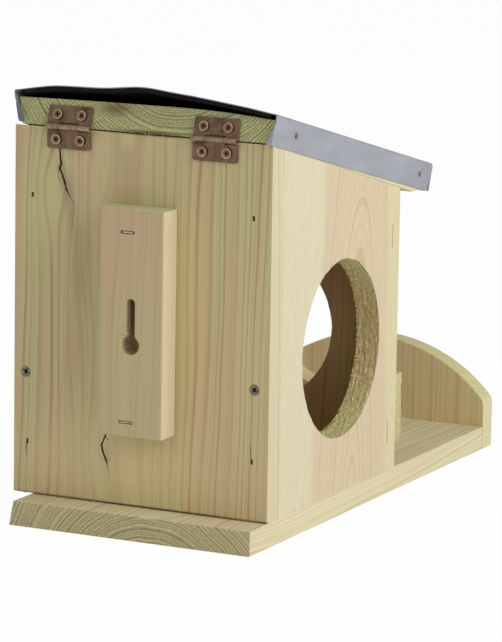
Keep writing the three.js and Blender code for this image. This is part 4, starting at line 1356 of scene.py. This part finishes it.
def make_fasteners():
    rear, right, down, front = (0, -1, 0), (1, 0, 0), (0, 0, -1), (0, 1, 0)
    roof_rear = (0, -math.cos(ROOF_PITCH), math.sin(ROOF_PITCH))
    screw = hinge_screw_model()
    coppered = (SCREW_RING, SCREW_DISH, SCREW_PIT_PAINTED_SHADE, SCREW_SIDE_PAINTED_SHADE)
    for side in ("left", "right"):
        for leaf, out, body in (("wall", rear, "box"), ("roof", roof_rear, "lid")):
            names = numbered(f"hinge_{side}_{leaf}_screw", 2)
            set_fasteners(screw, names, out, right, HINGE_SCREW_RISE, body, "coppered_screw", *coppered)
    timber = timber_screw_model()
    dark = ("box", "dark_steel", DARK_STEEL, DARK_PIT_PAINTED_SHADE)
    set_fasteners(timber, numbered("back_wall_screw", 2), rear, right, 0, *dark)
    under = numbered("base_screw", 6) + numbered("jar_rest_screw", 2)
    set_fasteners(timber, under, down, right, 0, *dark)
    board_nail = board_nail_model()
    names = numbered("end_board_nail", 3)
    set_fasteners(board_nail, names, front, right, 0, "box", "bright_steel", STAPLE)
    cover_nail = cover_nail_model()
    for side in ("right", "left"):
        names = numbered(f"sheet_nail_{side}", 2)
        set_fasteners(cover_nail, names, nail_out(side), SLOPE, COVER_NAIL_RISE, "lid", "copper", COPPER)
    for model in (screw, timber, board_nail, cover_nail):
        bpy.data.objects.remove(model)
    wires = (
        ("batten_staple", 2, 0.3, "bright_steel", STAPLE),
        ("left_side_staple", 2, 0.3, "bright_steel", PALE_STAPLE),
        ("right_side_staple", 2, 0.3, "bright_steel", PALE_STAPLE),
        ("back_wall_brad", 4, 0.2, "dark_steel", BRAD_HEAD),
    )
    for stem, count, arris, slot, metal in wires:
        for name in numbered(stem, count):
            wire = copy_of(name)
            apply_modifier(wire, "BEVEL", width=arris * MM, segments=3, limit_method="ANGLE",
                           angle_limit=SMOOTH)
            smooth(wire)
            dress(wire, name, "box", slot, metal)


# Studio

def make_floor():
    bpy.ops.mesh.primitive_plane_add(size=16, location=(0, 0, -0.0004))
    floor = bpy.context.object
    floor.name = "studio_floor"
    paper = Finish("studio_paper")
    paper.color(linear(250, 250, 250))
    paper.gloss(0.9, specular=0.1)
    tree = paper.tree
    glow = paper.node("ShaderNodeEmission")
    glow.inputs["Strength"].default_value = 1.0
    path = paper.node("ShaderNodeLightPath")
    seen = paper.plus(path.outputs["Is Camera Ray"], path.outputs["Is Glossy Ray"], clamp=True)
    seen = paper.plus(seen, path.outputs["Is Transmission Ray"], clamp=True)
    share = paper.times(seen, 0.96)
    blend = paper.node("ShaderNodeMixShader")
    tree.links.new(share, blend.inputs[0])
    tree.links.new(paper.shader.outputs[0], blend.inputs[1])
    tree.links.new(glow.outputs[0], blend.inputs[2])
    tree.links.new(blend.outputs[0], tree.nodes["Material Output"].inputs["Surface"])
    floor.data.materials.append(paper.material)


def make_world(strength):
    world = bpy.data.worlds.new("studio_air")
    bpy.context.scene.world = world
    world.use_nodes = True
    tree = world.node_tree
    soft = tree.nodes["Background"]
    soft.inputs["Color"].default_value = (1, 1, 1, 1)
    soft.inputs["Strength"].default_value = strength
    white = tree.nodes.new("ShaderNodeBackground")
    path = tree.nodes.new("ShaderNodeLightPath")
    either = tree.nodes.new("ShaderNodeMath")
    either.operation = "MAXIMUM"
    tree.links.new(path.outputs["Is Camera Ray"], either.inputs[0])
    tree.links.new(path.outputs["Is Transmission Ray"], either.inputs[1])
    blend = tree.nodes.new("ShaderNodeMixShader")
    tree.links.new(either.outputs[0], blend.inputs[0])
    tree.links.new(soft.outputs[0], blend.inputs[1])
    tree.links.new(white.outputs[0], blend.inputs[2])
    tree.links.new(blend.outputs[0], tree.nodes["World Output"].inputs["Surface"])


def softbox(name, place, target, width, height, power):
    lamp = bpy.data.lights.new(name, "AREA")
    lamp.shape = "RECTANGLE"
    lamp.size = width
    lamp.size_y = height
    lamp.energy = power
    box = bpy.data.objects.new(name, lamp)
    box.location = place
    box.rotation_euler = (Vector(target) - Vector(place)).to_track_quat("-Z", "Y").to_euler()
    bpy.context.scene.collection.objects.link(box)


# Camera: fitted to the photo's straight edges; sizes in pixels, place in metres
IMAGE_WIDTH = 502
FOCAL_PIXELS = 3885
CENTRE_SHIFT = 0.9
CAMERA_PLACE = (1.1136, -2.2637, 0.5702)
CAMERA_ACROSS = (0.89502, 0.44571, 0.01646)
CAMERA_BACK = (0.43582, -0.88182, 0.18014)


def make_camera():
    lens = bpy.data.cameras.new("product_lens")
    lens.sensor_fit = "HORIZONTAL"
    lens.sensor_width = 36
    lens.lens = FOCAL_PIXELS * lens.sensor_width / IMAGE_WIDTH
    lens.shift_y = CENTRE_SHIFT / IMAGE_WIDTH
    lens.clip_end = 100
    camera = bpy.data.objects.new("product_camera", lens)
    across = Vector(CAMERA_ACROSS).normalized()
    back = Vector(CAMERA_BACK).normalized()
    turn = Matrix((across, back.cross(across), back)).transposed().to_4x4()
    camera.matrix_world = Matrix.Translation(CAMERA_PLACE) @ turn
    bpy.context.scene.collection.objects.link(camera)
    bpy.context.scene.camera = camera


bpy.ops.object.select_all(action="DESELECT")
make_camera()
make_floor()
make_world(0.42)
softbox("right_softbox", (2.4, -0.3, 1.3), (0, 0, 0.12), 1.4, 1.4, 40)
softbox("rear_softbox", (-0.6, -2.4, 1.6), (0, 0, 0.12), 1.6, 1.2, 5)
bpy.context.scene.view_settings.view_transform = "Standard"

make_boards()
make_cover()
make_hinges()
make_fasteners()
